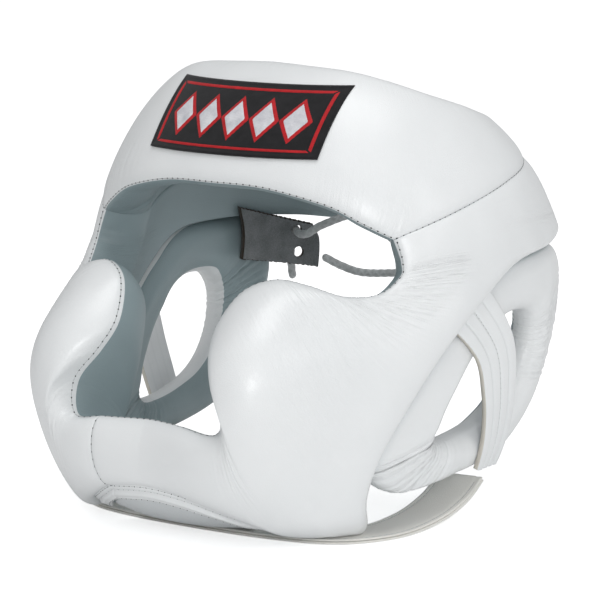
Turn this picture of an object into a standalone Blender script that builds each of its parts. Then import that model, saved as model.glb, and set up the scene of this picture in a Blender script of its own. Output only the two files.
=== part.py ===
"""Full-face boxing headgear of padded white leather, at its real size, resting on a surface.

Metres, +Z up. The face looks along -Y and +X is the wearer's left. The headgear rests on its
chin strap, whose underside is at height 0.
"""

import math

import bmesh
import bpy
from mathutils import Matrix, Vector

# Overall sizes of the padded shell
HEIGHT = 0.2180
HALF_WIDTH = 0.1150
FRONT_REACH = 0.1350
REAR_REACH = 0.1420
SQUARENESS = 2.15

# Padding and leather
SHELL_THICKNESS = 0.0250
SHELL_EDGE_ROLL = 0.0170
SHELL_EDGE_DEPTH = 0.0050
CHEEK_SWELL = 0.0240
EAR_PAD_THICKNESS = 0.0190
EAR_PAD_SINK = 0.0085
EAR_PAD_GAP = 0.0008
CHIN_CUP_THICKNESS = 0.0090
EDGE_FLAT = 0.0010
SEAM_DIP = 0.0022
SEAM_GAP = 0.0011
CHIN_SEAM_OFFSET = 0.0250

# Straps and trim
CHIN_STRAP_THICKNESS = 0.0025
CHIN_STRAP_WIDTH = 0.0250
EAR_STRAP_THICKNESS = 0.0025
EAR_STRAP_TOP_WIDTH = 0.0310
EAR_STRAP_BOTTOM_WIDTH = 0.0210
BINDING_THICKNESS = 0.0022
BINDING_WIDTH = 0.0090
LABEL_WIDTH = 0.0920
LABEL_HEIGHT = 0.0450
LABEL_THICKNESS = 0.0012
CLEARANCE = 0.0004

# Back closure
TAB_THICKNESS = 0.0030
TAB_GAP = 0.0009
EYELET_DIAMETER = 0.0056
EYELET_TURN = 131.0
EYELET_HEIGHTS = (0.455, 0.545)
LACE_DIAMETER = 0.0042

# The shell stands on the chin strap
REST_HEIGHT = CHIN_STRAP_THICKNESS + CLEARANCE
SHELL_SPAN = HEIGHT - REST_HEIGHT

# Sections of the shell's outer skin, from its lower rim to its crown.
# Shares of SHELL_SPAN, HALF_WIDTH, FRONT_REACH and REAR_REACH.
SECTION_COLUMNS = ("height", "half_width", "front", "rear")
SECTIONS = (
    (-0.010, 0.755, 0.790, 0.620),
    (0.055, 0.845, 0.925, 0.750),
    (0.170, 0.915, 0.985, 0.900),
    (0.335, 0.958, 0.925, 1.020),
    (0.512, 0.958, 0.790, 1.040),
    (0.657, 0.920, 0.660, 0.900),
    (0.777, 0.830, 0.555, 0.735),
    (0.869, 0.715, 0.450, 0.550),
    (0.938, 0.585, 0.340, 0.390),
    (0.979, 0.440, 0.235, 0.250),
    (1.000, 0.240, 0.110, 0.120),
)

# Ribs of a side shell, from the chin to the temple seam. Each runs from the face opening to
# the outer rim: the opening's end as shares of HALF_WIDTH and SHELL_SPAN, the rim's end as
# degrees round from the front and a share of SHELL_SPAN, and the lift at the rib's middle.
RIB_COLUMNS = ("across", "height", "rim_turn", "rim_height", "lift")
CHIN_RIBS = (
    (0.000, 0.268, 0.0, 0.112, 0.000),
    (0.160, 0.262, 13.0, 0.094, 0.000),
)
SIDE_RIBS = (
    (0.330, 0.250, 27.0, 0.045, 0.000),
    (0.335, 0.315, 38.0, 0.000, 0.000),
    (0.265, 0.385, 50.0, -0.008, 0.000),
    (0.235, 0.455, 60.0, -0.006, 0.000),
    (0.290, 0.532, 58.5, 0.085, 0.000),
    (0.400, 0.562, 59.5, 0.180, 0.000),
    (0.520, 0.552, 64.0, 0.295, 0.000),
    (0.650, 0.528, 70.0, 0.395, 0.000),
    (0.745, 0.530, 79.0, 0.485, 0.000),
    (0.790, 0.562, 92.0, 0.552, 0.006),
    (0.785, 0.590, 112.0, 0.565, 0.014),
    (0.770, 0.613, 140.0, 0.585, 0.022),
    (0.758, 0.628, 163.0, 0.605, 0.028),
    (0.748, 0.640, 163.0, 0.750, 0.036),
)

# Ribs of the forehead pad, from the middle of the brow round to the eye corner, with the
# same columns; past the eye corner its lower edge follows the side shell's last rib.
BROW_RIBS = (
    (0.000, 0.750, 0.0, 0.993),
    (0.240, 0.746, 22.0, 0.991),
    (0.500, 0.714, 42.0, 0.986),
    (0.650, 0.672, 58.0, 0.976),
    (0.748, 0.640, 70.0, 0.962),
)
CROWN_RIM = ((70.0, 0.962), (92.0, 0.925), (125.0, 0.872), (163.0, 0.845))

# Ribs of an ear pad where it is sewn in behind the side shell's rim: the place along that
# rim, counted in ribs of SIDE_RIBS, and the hole's end as shares of REAR_REACH and SHELL_SPAN.
SEWN_EAR_COLUMNS = ("shell_rib", "hole_along", "hole_height")
SEWN_EAR_RIBS = (
    (4.45, -0.185, 0.180),
    (5.20, -0.145, 0.240),
    (6.10, -0.080, 0.298),
    (7.00, -0.010, 0.345),
    (8.00, 0.085, 0.398),
    (9.00, 0.185, 0.424),
    (9.60, 0.285, 0.428),
    (10.20, 0.360, 0.415),
)

# Ribs of the rest of an ear pad, round the back and below: both ends as shares of
# REAR_REACH along Y and SHELL_SPAN up.
FREE_EAR_COLUMNS = ("rim_along", "rim_height", "hole_along", "hole_height")
FREE_EAR_RIBS = (
    (0.665, 0.450, 0.398, 0.372),
    (0.630, 0.335, 0.388, 0.318),
    (0.540, 0.220, 0.345, 0.262),
    (0.430, 0.138, 0.275, 0.216),
    (0.290, 0.088, 0.185, 0.184),
    (0.100, 0.060, 0.070, 0.164),
    (-0.130, 0.048, -0.050, 0.154),
    (-0.350, 0.050, -0.145, 0.158),
)

# Centre line of the chin strap on one side, from under the chin to its end behind the jaw:
# shares of HALF_WIDTH, FRONT_REACH and SHELL_SPAN.
CHIN_STRAP_COLUMNS = ("across", "along", "height")
CHIN_STRAP_ROUTE = (
    (0.000, -0.560, 0.000),
    (0.280, -0.550, 0.000),
    (0.540, -0.500, 0.000),
    (0.665, -0.360, 0.000),
    (0.690, -0.150, 0.006),
    (0.680, 0.040, 0.026),
    (0.665, 0.170, 0.058),
)

# Centre line of an ear strap from the shell's rim to the ear pad's foot:
# shares of REAR_REACH and SHELL_SPAN.
EAR_STRAP_ROUTE = (
    (-0.012, 0.420),
    (0.050, 0.370),
    (0.105, 0.260),
    (0.135, 0.160),
    (0.145, 0.078),
)

# Back lace: its points, from the loose end inside the back opening to the other end
LACE_ROUTE = (
    (-0.0480, 0.0900, 0.1010),
    (-0.0400, 0.0950, 0.0960),
    (-0.0290, 0.0980, 0.0930),
    (-0.0120, 0.1000, 0.0940),
    (0.0080, 0.1000, 0.0970),
    (0.0300, 0.0940, 0.1005),
    (0.0460, 0.0855, 0.1022),
    (0.0540, 0.0840, 0.1022),
    (0.0589, 0.0868, 0.1021),
    (0.0637, 0.0903, 0.1019),
    (0.0682, 0.0935, 0.1020),
    (0.0712, 0.0958, 0.1085),
    (0.0681, 0.0919, 0.1148),
    (0.0639, 0.0887, 0.1137),
    (0.0592, 0.0852, 0.1123),
    (0.0530, 0.0835, 0.1130),
    (0.0420, 0.0880, 0.1180),
    (0.0200, 0.0970, 0.1240),
    (-0.0050, 0.0995, 0.1262),
    (-0.0300, 0.0955, 0.1240),
    (-0.0450, 0.0865, 0.1180),
    (-0.0530, 0.0835, 0.1130),
    (-0.0592, 0.0852, 0.1123),
    (-0.0639, 0.0887, 0.1137),
    (-0.0681, 0.0919, 0.1148),
    (-0.0715, 0.0960, 0.1085),
    (-0.0720, 0.0965, 0.0960),
    (-0.0705, 0.0960, 0.0860),
)


def curve_value(before, start, end, after, share):
    """A smooth curve from start to end, given the values beyond both."""
    return 0.5 * (
        2.0 * start
        + (end - before) * share
        + (2.0 * before - 5.0 * start + 4.0 * end - after) * share**2
        + (3.0 * start - before - 3.0 * end + after) * share**3
    )


def table_value(rows, column, place):
    """One column of a table at a place counted in rows, on a smooth curve through the rows."""
    last = len(rows) - 1
    place = min(max(place, 0.0), float(last))
    row = min(int(place), last - 1)
    near = [rows[min(max(row + step, 0), last)][column] for step in (-1, 0, 1, 2)]
    return curve_value(*near, place - row)


def ring_value(rows, column, place):
    """The same for a table that runs once round and joins itself."""
    row = int(place)
    near = [rows[(row + step) % len(rows)][column] for step in (-1, 0, 1, 2)]
    return curve_value(*near, place - row)


def between(start, end, share):
    return start + (end - start) * share


def section_at(level):
    """Height, half width, middle and half depth of the skin at a level counted in sections."""
    height = REST_HEIGHT + SHELL_SPAN * table_value(SECTIONS, 0, level)
    half_width = HALF_WIDTH * table_value(SECTIONS, 1, level)
    front = -FRONT_REACH * table_value(SECTIONS, 2, level)
    rear = REAR_REACH * table_value(SECTIONS, 3, level)
    return height, half_width, (front + rear) / 2.0, (rear - front) / 2.0


def level_of(height_share):
    """The level whose height is this share of SHELL_SPAN."""
    low, high = 0.0, len(SECTIONS) - 1.0
    for _ in range(24):
        middle = (low + high) / 2.0
        if table_value(SECTIONS, 0, middle) < height_share:
            low = middle
        else:
            high = middle
    return (low + high) / 2.0


def skin_point(turn, level):
    """A point of the shell's outer skin: turn is in radians round from the front."""
    height, half_width, middle, half_depth = section_at(level)
    across, along = math.sin(turn), math.cos(turn)
    reach = (abs(across) ** SQUARENESS + abs(along) ** SQUARENESS) ** (-1.0 / SQUARENESS)
    return Vector((half_width * across * reach, middle - half_depth * along * reach, height))


def skin_normal(turn, level):
    """The skin's direction outwards."""
    step = 0.01
    round_way = skin_point(turn + step, level) - skin_point(turn - step, level)
    up_way = skin_point(turn, level + step) - skin_point(turn, level - step)
    return round_way.cross(up_way).normalized()


def turn_across(across, level):
    """The turn at which the front of the skin is this far across."""
    share = min(abs(across) / section_at(level)[1], 0.999)
    along = (1.0 - share**SQUARENESS) ** (1.0 / SQUARENESS)
    return math.copysign(math.atan2(share, along), across)


def turn_along(along, level):
    """The turn at which the side of the skin is this far along Y."""
    _, _, middle, half_depth = section_at(level)
    share = (middle - along) / half_depth
    across = (1.0 - min(abs(share), 0.999) ** SQUARENESS) ** (1.0 / SQUARENESS)
    return math.atan2(across, share)


def cheek_swell(point):
    """How far the stuffed cheek stands proud of the skin at a point of it."""
    across = (abs(point.x) - 0.41 * HALF_WIDTH) / (0.23 * HALF_WIDTH)
    up = (point.z - REST_HEIGHT - 0.350 * SHELL_SPAN) / (0.185 * SHELL_SPAN)
    facing = min(max(-point.y / (0.30 * FRONT_REACH), 0.0), 1.0)
    return CHEEK_SWELL * facing * math.exp(-(across**2) - up**2)


def roll(distance, width):
    """0 at a rolled edge, rising on a quarter circle to 1 at the full padding."""
    share = min(max(distance / width, 0.0), 1.0)
    return math.sqrt(1.0 - (1.0 - share) ** 2)


def crowded(share):
    """Moves a share towards the nearer end, so that rows crowd at the edges."""
    return 0.35 * share + 0.65 * (1.0 - math.cos(math.pi * share)) / 2.0


def sunk_point(turn, level, depth):
    """A point this far in from the skin."""
    return skin_point(turn, level) - skin_normal(turn, level) * depth


def shell_point(turn, level, fullness, outer, dip):
    """A point of the shell's face: fullness 0 is its edge and 1 its whole thickness."""
    swell = cheek_swell(skin_point(turn, level))
    edge = SHELL_EDGE_DEPTH - 0.5 * swell
    if outer:
        depth = between(edge - EDGE_FLAT / 2.0, dip - swell, fullness)
    else:
        depth = between(edge + EDGE_FLAT / 2.0, SHELL_THICKNESS - dip, fullness)
    return sunk_point(turn, level, depth)


def make_material(name, colour, roughness):
    """A plain material in a piece's own colour."""
    material = bpy.data.materials.new(name)
    material.use_nodes = True
    shader = material.node_tree.nodes["Principled BSDF"]
    shader.inputs["Base Color"].default_value = (*colour, 1.0)
    shader.inputs["Roughness"].default_value = roughness
    return material


def add_object(name, bm, material):
    """The finished mesh as a named object."""
    bmesh.ops.recalc_face_normals(bm, faces=bm.faces)
    mesh = bpy.data.meshes.new(name)
    bm.to_mesh(mesh)
    bm.free()
    mesh.materials.append(material)
    mesh.shade_smooth()
    piece = bpy.data.objects.new(name, mesh)
    bpy.context.scene.collection.objects.link(piece)
    return piece


def make_pad(name, material, along_steps, across_steps, place, closed=False):
    """A pad from a grid: its outer face, its inner face and the thin wall between them.

    place gives a point for (along, across, outer), with along and across from 0 to 1.
    """
    bm = bmesh.new()
    along_layer = bm.verts.layers.float.new("along")
    across_layer = bm.verts.layers.float.new("across")
    bmesh.ops.create_grid(bm, x_segments=along_steps, y_segments=across_steps, size=0.5)
    for vertex in bm.verts:
        vertex[along_layer] = vertex.co.x + 0.5
        vertex[across_layer] = vertex.co.y + 0.5
        vertex.co = place(vertex[along_layer], vertex[across_layer], True)
    if closed:
        bmesh.ops.remove_doubles(bm, verts=bm.verts, dist=1e-6)
    made = bmesh.ops.extrude_face_region(bm, geom=bm.faces[:], use_keep_orig=True)
    for vertex in made["geom"]:
        if isinstance(vertex, bmesh.types.BMVert):
            vertex.co = place(vertex[along_layer], vertex[across_layer], False)
    return add_object(name, bm, material)


def side_rib(rows, place, share):
    """Turn and level on a side shell: place counts ribs, share runs from opening to rim."""
    opening_level = level_of(table_value(rows, 1, place))
    opening_turn = turn_across(HALF_WIDTH * table_value(rows, 0, place), opening_level)
    rim_turn = math.radians(table_value(rows, 2, place))
    rim_level = level_of(table_value(rows, 3, place))
    lift = 4.0 * share * (1.0 - share) * table_value(rows, 4, place)
    level = between(opening_level, rim_level, share) + lift * (len(SECTIONS) - 1)
    return between(opening_turn, rim_turn, share), level


def chin_seam_rib(side):
    """The rib under the chin seam, which lies to the wearer's right of the middle."""
    rim_height = 0.098
    turn = math.degrees(turn_across(side * CHIN_SEAM_OFFSET, level_of(rim_height)))
    return side * CHIN_SEAM_OFFSET / HALF_WIDTH, 0.258, turn, rim_height, 0.0


SHELL_ACROSS_STEPS = 12
BROW_STEPS = 8


def make_side_shell(name, material, mirror, rows, along_steps):
    """Cheek, jaw and temple in one stuffed panel, from the chin seam to the temple seam."""
    last = len(rows) - 1
    middles = [skin_point(*side_rib(rows, row, 0.5)) for row in range(last + 1)]
    steps = [(end - start).length for start, end in zip(middles, middles[1:])]
    span = sum(steps)

    def place(along, across, outer):
        row = between(SEAM_GAP / 2.0 / steps[0], last - SEAM_GAP / 2.0 / steps[-1], along)
        share = crowded(across)
        start = skin_point(*side_rib(rows, row, 0.0))
        end = skin_point(*side_rib(rows, row, 1.0))
        width = (end - start).length
        edge_roll = min(SHELL_EDGE_ROLL, 0.5 * width)
        fullness = roll(share * width, edge_roll) * roll((1.0 - share) * width, edge_roll)
        seam_distance = min(along, 1.0 - along) * span
        dip = SEAM_DIP * (1.0 - roll(seam_distance, SHELL_EDGE_ROLL / 2.0))
        point = shell_point(*side_rib(rows, row, share), fullness, outer, dip)
        point.x *= mirror
        return point

    return make_pad(name, material, along_steps, SHELL_ACROSS_STEPS, place)


def forehead_edges(step):
    """Lower edge and crown rim of the forehead pad, step columns from the brow's middle."""
    if step <= BROW_STEPS:
        row = step / BROW_STEPS * (len(BROW_RIBS) - 1)
        lower_level = level_of(table_value(BROW_RIBS, 1, row))
        lower_turn = turn_across(HALF_WIDTH * table_value(BROW_RIBS, 0, row), lower_level)
        rim = (table_value(BROW_RIBS, 2, row), table_value(BROW_RIBS, 3, row))
    else:
        share = crowded((step - BROW_STEPS) / SHELL_ACROSS_STEPS)
        lower_turn, lower_level = side_rib(SIDE_RIBS, len(SIDE_RIBS) - 1.0, share)
        row = share * (len(CROWN_RIM) - 1)
        rim = (table_value(CROWN_RIM, 0, row), table_value(CROWN_RIM, 1, row))
    return lower_turn, lower_level, math.radians(rim[0]), level_of(rim[1])


def make_forehead_pad(material):
    """Forehead and upper sides in one panel, from the brow and temple seams to the crown."""
    half_steps = BROW_STEPS + SHELL_ACROSS_STEPS
    eye_corner = skin_point(*forehead_edges(BROW_STEPS)[:2])
    rear_corner = skin_point(*forehead_edges(half_steps)[:2])

    def place(along, across, outer):
        side = 2.0 * along - 1.0
        step = round(abs(side) * half_steps)
        lower_turn, lower_level, rim_turn, rim_level = forehead_edges(step)
        lower = skin_point(lower_turn, lower_level)
        width = (skin_point(rim_turn, rim_level) - lower).length
        share = between(SEAM_GAP / 2.0 / width, 1.0, crowded(across))
        turn = between(lower_turn, rim_turn, share)
        level = between(lower_level, rim_level, share)
        fullness = roll((1.0 - share) * width, 0.7 * SHELL_EDGE_ROLL)
        dip = 0.0
        opening_distance = share * width
        if step > BROW_STEPS:
            dip = SEAM_DIP * (1.0 - roll(share * width, SHELL_EDGE_ROLL / 2.0))
            opening_distance = (skin_point(turn, level) - eye_corner).length
            rear_distance = (lower - rear_corner).length
            fullness *= roll(rear_distance, SHELL_EDGE_ROLL)
        fullness *= roll(opening_distance, SHELL_EDGE_ROLL)
        point = shell_point(turn, level, fullness, outer, dip)
        point.x = math.copysign(point.x, side)
        return point

    return make_pad("forehead_pad", material, 2 * half_steps, 9, place)


def ear_depth(along):
    """How far the middle of an ear pad lies under the skin: less towards the back."""
    rear_share = min(max(along / (0.45 * REAR_REACH), 0.0), 1.0)
    return EAR_PAD_SINK * (1.0 - 0.7 * rear_share) + EAR_PAD_THICKNESS / 2.0


def side_place(along_share, height_share):
    """Turn and level of a point of the side of the skin."""
    level = level_of(height_share)
    return turn_along(REAR_REACH * along_share, level), level


def make_ear_pad(name, material, mirror):
    """The stuffed ring round an ear hole, set in behind the side shell's rim."""
    ribs = [
        side_rib(SIDE_RIBS, rib, 1.0) + side_place(along, height)
        for rib, along, height in SEWN_EAR_RIBS
    ]
    for rim_along, rim_height, hole_along, hole_height in FREE_EAR_RIBS:
        ribs.append(side_place(rim_along, rim_height) + side_place(hole_along, hole_height))

    sewn_last = len(SEWN_EAR_RIBS) - 1

    def place(along, across, outer):
        row = (along % 1.0) * len(ribs)
        if row <= sewn_last:
            rim = side_rib(SIDE_RIBS, table_value(SEWN_EAR_RIBS, 0, row), 1.0)
        else:
            rim = (ring_value(ribs, 0, row), ring_value(ribs, 1, row))
        hole = (ring_value(ribs, 2, row), ring_value(ribs, 3, row))
        width = (skin_point(*rim) - skin_point(*hole)).length
        share = crowded(across) * (1.0 - EAR_PAD_GAP / width)
        edge_roll = min(0.5 * width, 0.6 * EAR_PAD_THICKNESS)
        fullness = roll(share * width, edge_roll) * roll((1.0 - share) * width, edge_roll)
        half = between(EDGE_FLAT, EAR_PAD_THICKNESS, fullness) / 2.0
        turn = between(hole[0], rim[0], share)
        level = between(hole[1], rim[1], share)
        depth = ear_depth(skin_point(turn, level).y)
        point = sunk_point(turn, level, depth - half if outer else depth + half)
        point.x *= mirror
        return point

    return make_pad(name, material, 32, 8, place, closed=True)


def make_ear_strap(name, material, mirror):
    """The strap sewn under the shell's rim and drawn over the ear pad."""
    last = len(EAR_STRAP_ROUTE) - 1

    def place(along, across, outer):
        row = along * last
        turn, level = side_place(
            table_value(EAR_STRAP_ROUTE, 0, row), table_value(EAR_STRAP_ROUTE, 1, row)
        )
        width = between(EAR_STRAP_TOP_WIDTH, EAR_STRAP_BOTTOM_WIDTH, along)
        turn += (across - 0.5) * width / (skin_point(turn, level).xy.length)
        depth = ear_depth(skin_point(turn, level).y) - EAR_PAD_THICKNESS / 2.0 - CLEARANCE
        point = sunk_point(turn, level, depth - EAR_STRAP_THICKNESS if outer else depth)
        point.x *= mirror
        return point

    return make_pad(name, material, 14, 4, place)


def make_chin_strap(material):
    """The flat strap under the chin and both jaws, on which the headgear stands."""
    last = len(CHIN_STRAP_ROUTE) - 1

    def centre(side):
        row = abs(side) * last
        return Vector((
            math.copysign(HALF_WIDTH * table_value(CHIN_STRAP_ROUTE, 0, row), side),
            FRONT_REACH * table_value(CHIN_STRAP_ROUTE, 1, row),
            SHELL_SPAN * max(table_value(CHIN_STRAP_ROUTE, 2, row), 0.0),
        ))

    def place(along, across, outer):
        side = 2.0 * along - 1.0
        step = 0.02
        way = centre(min(side + step, 1.0)) - centre(max(side - step, -1.0))
        sideways = Vector((way.y, -way.x, 0.0)).normalized()
        point = centre(side) + sideways * (across - 0.5) * CHIN_STRAP_WIDTH
        if outer:
            point.z += CHIN_STRAP_THICKNESS
        return point

    return make_pad("chin_strap", material, 48, 2, place)


def chin_rim(turn):
    """Height of the chin's lower rim at a turn from the front, as a share of SHELL_SPAN."""
    rows = CHIN_RIBS + SIDE_RIBS[:3]
    degrees = abs(math.degrees(turn))
    for row in range(len(rows) - 1):
        start, end = rows[row], rows[row + 1]
        if degrees <= end[2]:
            return between(start[3], end[3], (degrees - start[2]) / (end[2] - start[2]))
    return rows[-1][3]


def make_chin_binding(material):
    """The leather strip that binds the chin's lower edge."""
    right_end, left_end = math.radians(-32.0), math.radians(34.0)

    def place(along, across, outer):
        turn = between(right_end, left_end, along)
        top = REST_HEIGHT + SHELL_SPAN * chin_rim(turn) - CLEARANCE - EDGE_FLAT
        width = min(BINDING_WIDTH, 0.8 * (top - CHIN_STRAP_THICKNESS))
        level = level_of((top - width * across - REST_HEIGHT) / SHELL_SPAN)
        depth = SHELL_EDGE_DEPTH - BINDING_THICKNESS / 2.0
        return sunk_point(turn, level, depth if outer else depth + BINDING_THICKNESS)

    return make_pad("chin_binding", material, 26, 2, place)


def make_chin_cup(material):
    """The soft cup that closes the chin underneath, behind the binding."""
    half_turn = math.radians(29.0)

    def place(along, across, outer):
        turn = between(-half_turn, half_turn, along)
        top = max(chin_rim(turn) - 0.045, 0.012)
        tuck = SHELL_EDGE_DEPTH + BINDING_THICKNESS / 2.0 + CLEARANCE
        front = sunk_point(turn, level_of(top), tuck)
        inward = Vector((0.0, -0.35 * FRONT_REACH, 0.0)) - front
        inward.z = 0.0
        inward.normalize()
        reach = 0.40 * FRONT_REACH * across
        fall = front.z - REST_HEIGHT
        point = front + inward * reach
        point.z -= fall * (1.0 - (1.0 - across) ** 4.0)
        edges = roll(across, 0.25) * roll(1.0 - across, 0.25)
        edges *= roll(along, 0.12) * roll(1.0 - along, 0.12)
        if not outer:
            lift = Vector((0.0, 0.0, 1.0)) * across + inward * (1.0 - across)
            point += lift * between(EDGE_FLAT, CHIN_CUP_THICKNESS, edges)
        return point

    return make_pad("chin_cup", material, 20, 7, place)


def eyelet(height, mirror):
    """Centre and outward direction of a lace hole at a share of SHELL_SPAN."""
    turn, level = math.radians(EYELET_TURN), level_of(height)
    centre = sunk_point(turn, level, SHELL_THICKNESS + TAB_GAP + TAB_THICKNESS / 2.0)
    normal = skin_normal(turn, level)
    return Vector((mirror * centre.x, centre.y, centre.z)), Vector((mirror * normal.x, normal.y, normal.z))


def make_tab(name, material, mirror, cutter_name):
    """A suede closing tab inside the back end of the shell, with two lace holes."""
    front_turn, rear_turn = math.radians(112.0), math.radians(138.0)
    depth = SHELL_THICKNESS + TAB_GAP

    def place(along, across, outer):
        turn = between(front_turn, rear_turn, along)
        bottom, top = between(0.450, 0.405, along), between(0.615, 0.575, along)
        level = level_of(between(bottom, top, across))
        point = sunk_point(turn, level, depth if outer else depth + TAB_THICKNESS)
        point.x *= mirror
        return point

    tab = make_pad(name, material, 6, 4, place)
    bm = bmesh.new()
    for height in EYELET_HEIGHTS:
        centre, normal = eyelet(height, mirror)
        place_matrix = Matrix.Translation(centre) @ normal.to_track_quat("Z", "Y").to_matrix().to_4x4()
        bmesh.ops.create_cone(
            bm,
            cap_ends=True,
            segments=12,
            radius1=EYELET_DIAMETER / 2.0,
            radius2=EYELET_DIAMETER / 2.0,
            depth=4.0 * TAB_THICKNESS,
            matrix=place_matrix,
        )
    cutter = add_object(cutter_name, bm, material)
    cutter.hide_render = True
    cutter.display_type = "WIRE"
    cut = tab.modifiers.new("eyelets", "BOOLEAN")
    cut.operation = "DIFFERENCE"
    cut.solver = "EXACT"
    cut.object = cutter
    return tab


def make_label(material):
    """The plain patch on the forehead, a little above its surface."""
    bottom, top = 0.800, 0.944
    offset = 0.03

    def place(along, across, outer):
        level = level_of(between(bottom, top, across))
        turn = turn_across(HALF_WIDTH * offset + (along - 0.5) * LABEL_WIDTH, level)
        depth = -CLEARANCE - (LABEL_THICKNESS if outer else 0.0)
        return sunk_point(turn, level, depth)

    return make_pad("brow_label", material, 12, 5, place)


def make_lace(material):
    """The round lace that draws the two tabs together across the back."""
    curve = bpy.data.curves.new("back_lace", "CURVE")
    curve.dimensions = "3D"
    curve.bevel_depth = LACE_DIAMETER / 2.0
    curve.bevel_resolution = 2
    curve.use_fill_caps = True
    spline = curve.splines.new("POLY")
    last = len(LACE_ROUTE) - 1
    count = 60
    spline.points.add(count)
    for number, point in enumerate(spline.points):
        row = number / count * last
        point.co = (*[table_value(LACE_ROUTE, axis, row) for axis in range(3)], 1.0)
    curve.materials.append(material)
    lace = bpy.data.objects.new("back_lace", curve)
    bpy.context.scene.collection.objects.link(lace)
    return lace


def centre_over_origin():
    """Moves every piece along Y so that the middle of the leather shell is over the origin."""
    shell = [bpy.data.objects[name] for name in ("side_shell_left", "side_shell_right")]
    along = [vertex.co.y for piece in shell for vertex in piece.data.vertices]
    for piece in bpy.data.objects:
        piece.location.y = -(min(along) + max(along)) / 2.0


def main():
    for piece in list(bpy.data.objects):
        bpy.data.objects.remove(piece)
    white = make_material("white_leather", (0.86, 0.87, 0.88), 0.38)
    cream = make_material("cream_leather", (0.83, 0.82, 0.77), 0.50)
    lining = make_material("lining", (0.60, 0.66, 0.68), 0.60)
    suede = make_material("grey_suede", (0.12, 0.13, 0.14), 0.90)
    cloth = make_material("label_cloth", (0.02, 0.02, 0.02), 0.80)
    cord = make_material("lace_cord", (0.80, 0.80, 0.80), 0.85)

    make_forehead_pad(white)
    left_rows = (chin_seam_rib(-1.0),) + CHIN_RIBS + SIDE_RIBS
    make_side_shell("side_shell_left", white, 1.0, left_rows, 42)
    right_rows = (chin_seam_rib(1.0),) + SIDE_RIBS
    make_side_shell("side_shell_right", white, -1.0, right_rows, 38)
    for side, mirror in (("left", 1.0), ("right", -1.0)):
        make_ear_pad("ear_pad_" + side, white, mirror)
        make_ear_strap("ear_strap_" + side, white, mirror)
        make_tab("back_tab_" + side, suede, mirror, "cutter_" + side)
    make_chin_cup(lining)
    make_chin_binding(white)
    make_chin_strap(cream)
    make_label(cloth)
    make_lace(cord)
    centre_over_origin()


main()
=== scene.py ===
"""A full-face boxing headgear in glossy white leather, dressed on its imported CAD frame."""
import math

import bmesh
import bpy
import numpy as np
from mathutils import Matrix, Vector


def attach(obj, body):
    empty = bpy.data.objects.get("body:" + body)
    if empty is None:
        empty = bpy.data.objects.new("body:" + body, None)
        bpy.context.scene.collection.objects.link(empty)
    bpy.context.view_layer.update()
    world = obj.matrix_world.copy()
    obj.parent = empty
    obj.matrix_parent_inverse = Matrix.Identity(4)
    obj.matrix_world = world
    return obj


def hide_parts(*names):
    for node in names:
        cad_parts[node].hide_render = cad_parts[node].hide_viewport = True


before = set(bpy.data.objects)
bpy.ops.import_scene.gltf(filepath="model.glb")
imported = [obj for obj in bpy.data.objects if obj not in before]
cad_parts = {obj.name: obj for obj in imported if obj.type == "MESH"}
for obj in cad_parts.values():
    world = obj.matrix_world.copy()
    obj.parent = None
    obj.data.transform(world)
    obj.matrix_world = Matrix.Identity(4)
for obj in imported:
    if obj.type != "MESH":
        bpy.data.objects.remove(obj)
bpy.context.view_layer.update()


# Camera: the photograph looks at the front and the wearer's left cheek, a little from above.
VIEW_TARGET = Vector((0.0, 0.00445, 0.095))
VIEW_DISTANCE = 1.6
VIEW_AZIMUTH = math.radians(34.0)
VIEW_HEIGHT = math.radians(10.2)


def new_object(name, data):
    """An object at the origin, linked to the scene."""
    made = bpy.data.objects.new(name, data)
    bpy.context.scene.collection.objects.link(made)
    return made


camera_data = bpy.data.cameras.new("photo_camera")
camera_data.lens = 197.8
camera_data.sensor_width = 36.0
camera_data.shift_x = -2.0 / 600.0
camera_data.shift_y = 2.0 / 600.0
camera = new_object("photo_camera", camera_data)
view_back = Vector((
    math.sin(VIEW_AZIMUTH) * math.cos(VIEW_HEIGHT),
    -math.cos(VIEW_AZIMUTH) * math.cos(VIEW_HEIGHT),
    math.sin(VIEW_HEIGHT),
))
camera.location = VIEW_TARGET + view_back * VIEW_DISTANCE
camera.rotation_euler = view_back.to_track_quat("Z", "Y").to_euler()
bpy.context.scene.camera = camera
bpy.context.scene.view_settings.view_transform = "Standard"


# Back lace: one round braided cotton cord, threaded through two holes in each suede tab and
# drawn across the back. One end hangs loose inside the opening, the other lies behind a tab.
LACE_DIAMETER = 0.0042
LACE_SHIFT = 0.00445
LACE_ROUTE = (
    (-0.0480, 0.0900, 0.1010), (-0.0400, 0.0950, 0.0960), (-0.0290, 0.0980, 0.0930),
    (-0.0120, 0.1000, 0.0940), (0.0080, 0.1000, 0.0970), (0.0300, 0.0940, 0.1005),
    (0.0460, 0.0855, 0.1022), (0.0540, 0.0840, 0.1022), (0.0589, 0.0868, 0.1021),
    (0.0637, 0.0903, 0.1019), (0.0682, 0.0935, 0.1020), (0.0712, 0.0958, 0.1085),
    (0.0681, 0.0919, 0.1148), (0.0639, 0.0887, 0.1137), (0.0592, 0.0852, 0.1123),
    (0.0530, 0.0835, 0.1130), (0.0420, 0.0880, 0.1180), (0.0200, 0.0970, 0.1240),
    (-0.0050, 0.0995, 0.1262), (-0.0300, 0.0955, 0.1240), (-0.0450, 0.0865, 0.1180),
    (-0.0530, 0.0835, 0.1130), (-0.0592, 0.0852, 0.1123), (-0.0639, 0.0887, 0.1137),
    (-0.0681, 0.0919, 0.1148), (-0.0715, 0.0960, 0.1085), (-0.0720, 0.0965, 0.0960),
    (-0.0705, 0.0960, 0.0860),
)
LACE_STEPS = 900
LACE_SIDES = 18
BRAID_PITCH = 0.0042


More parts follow.
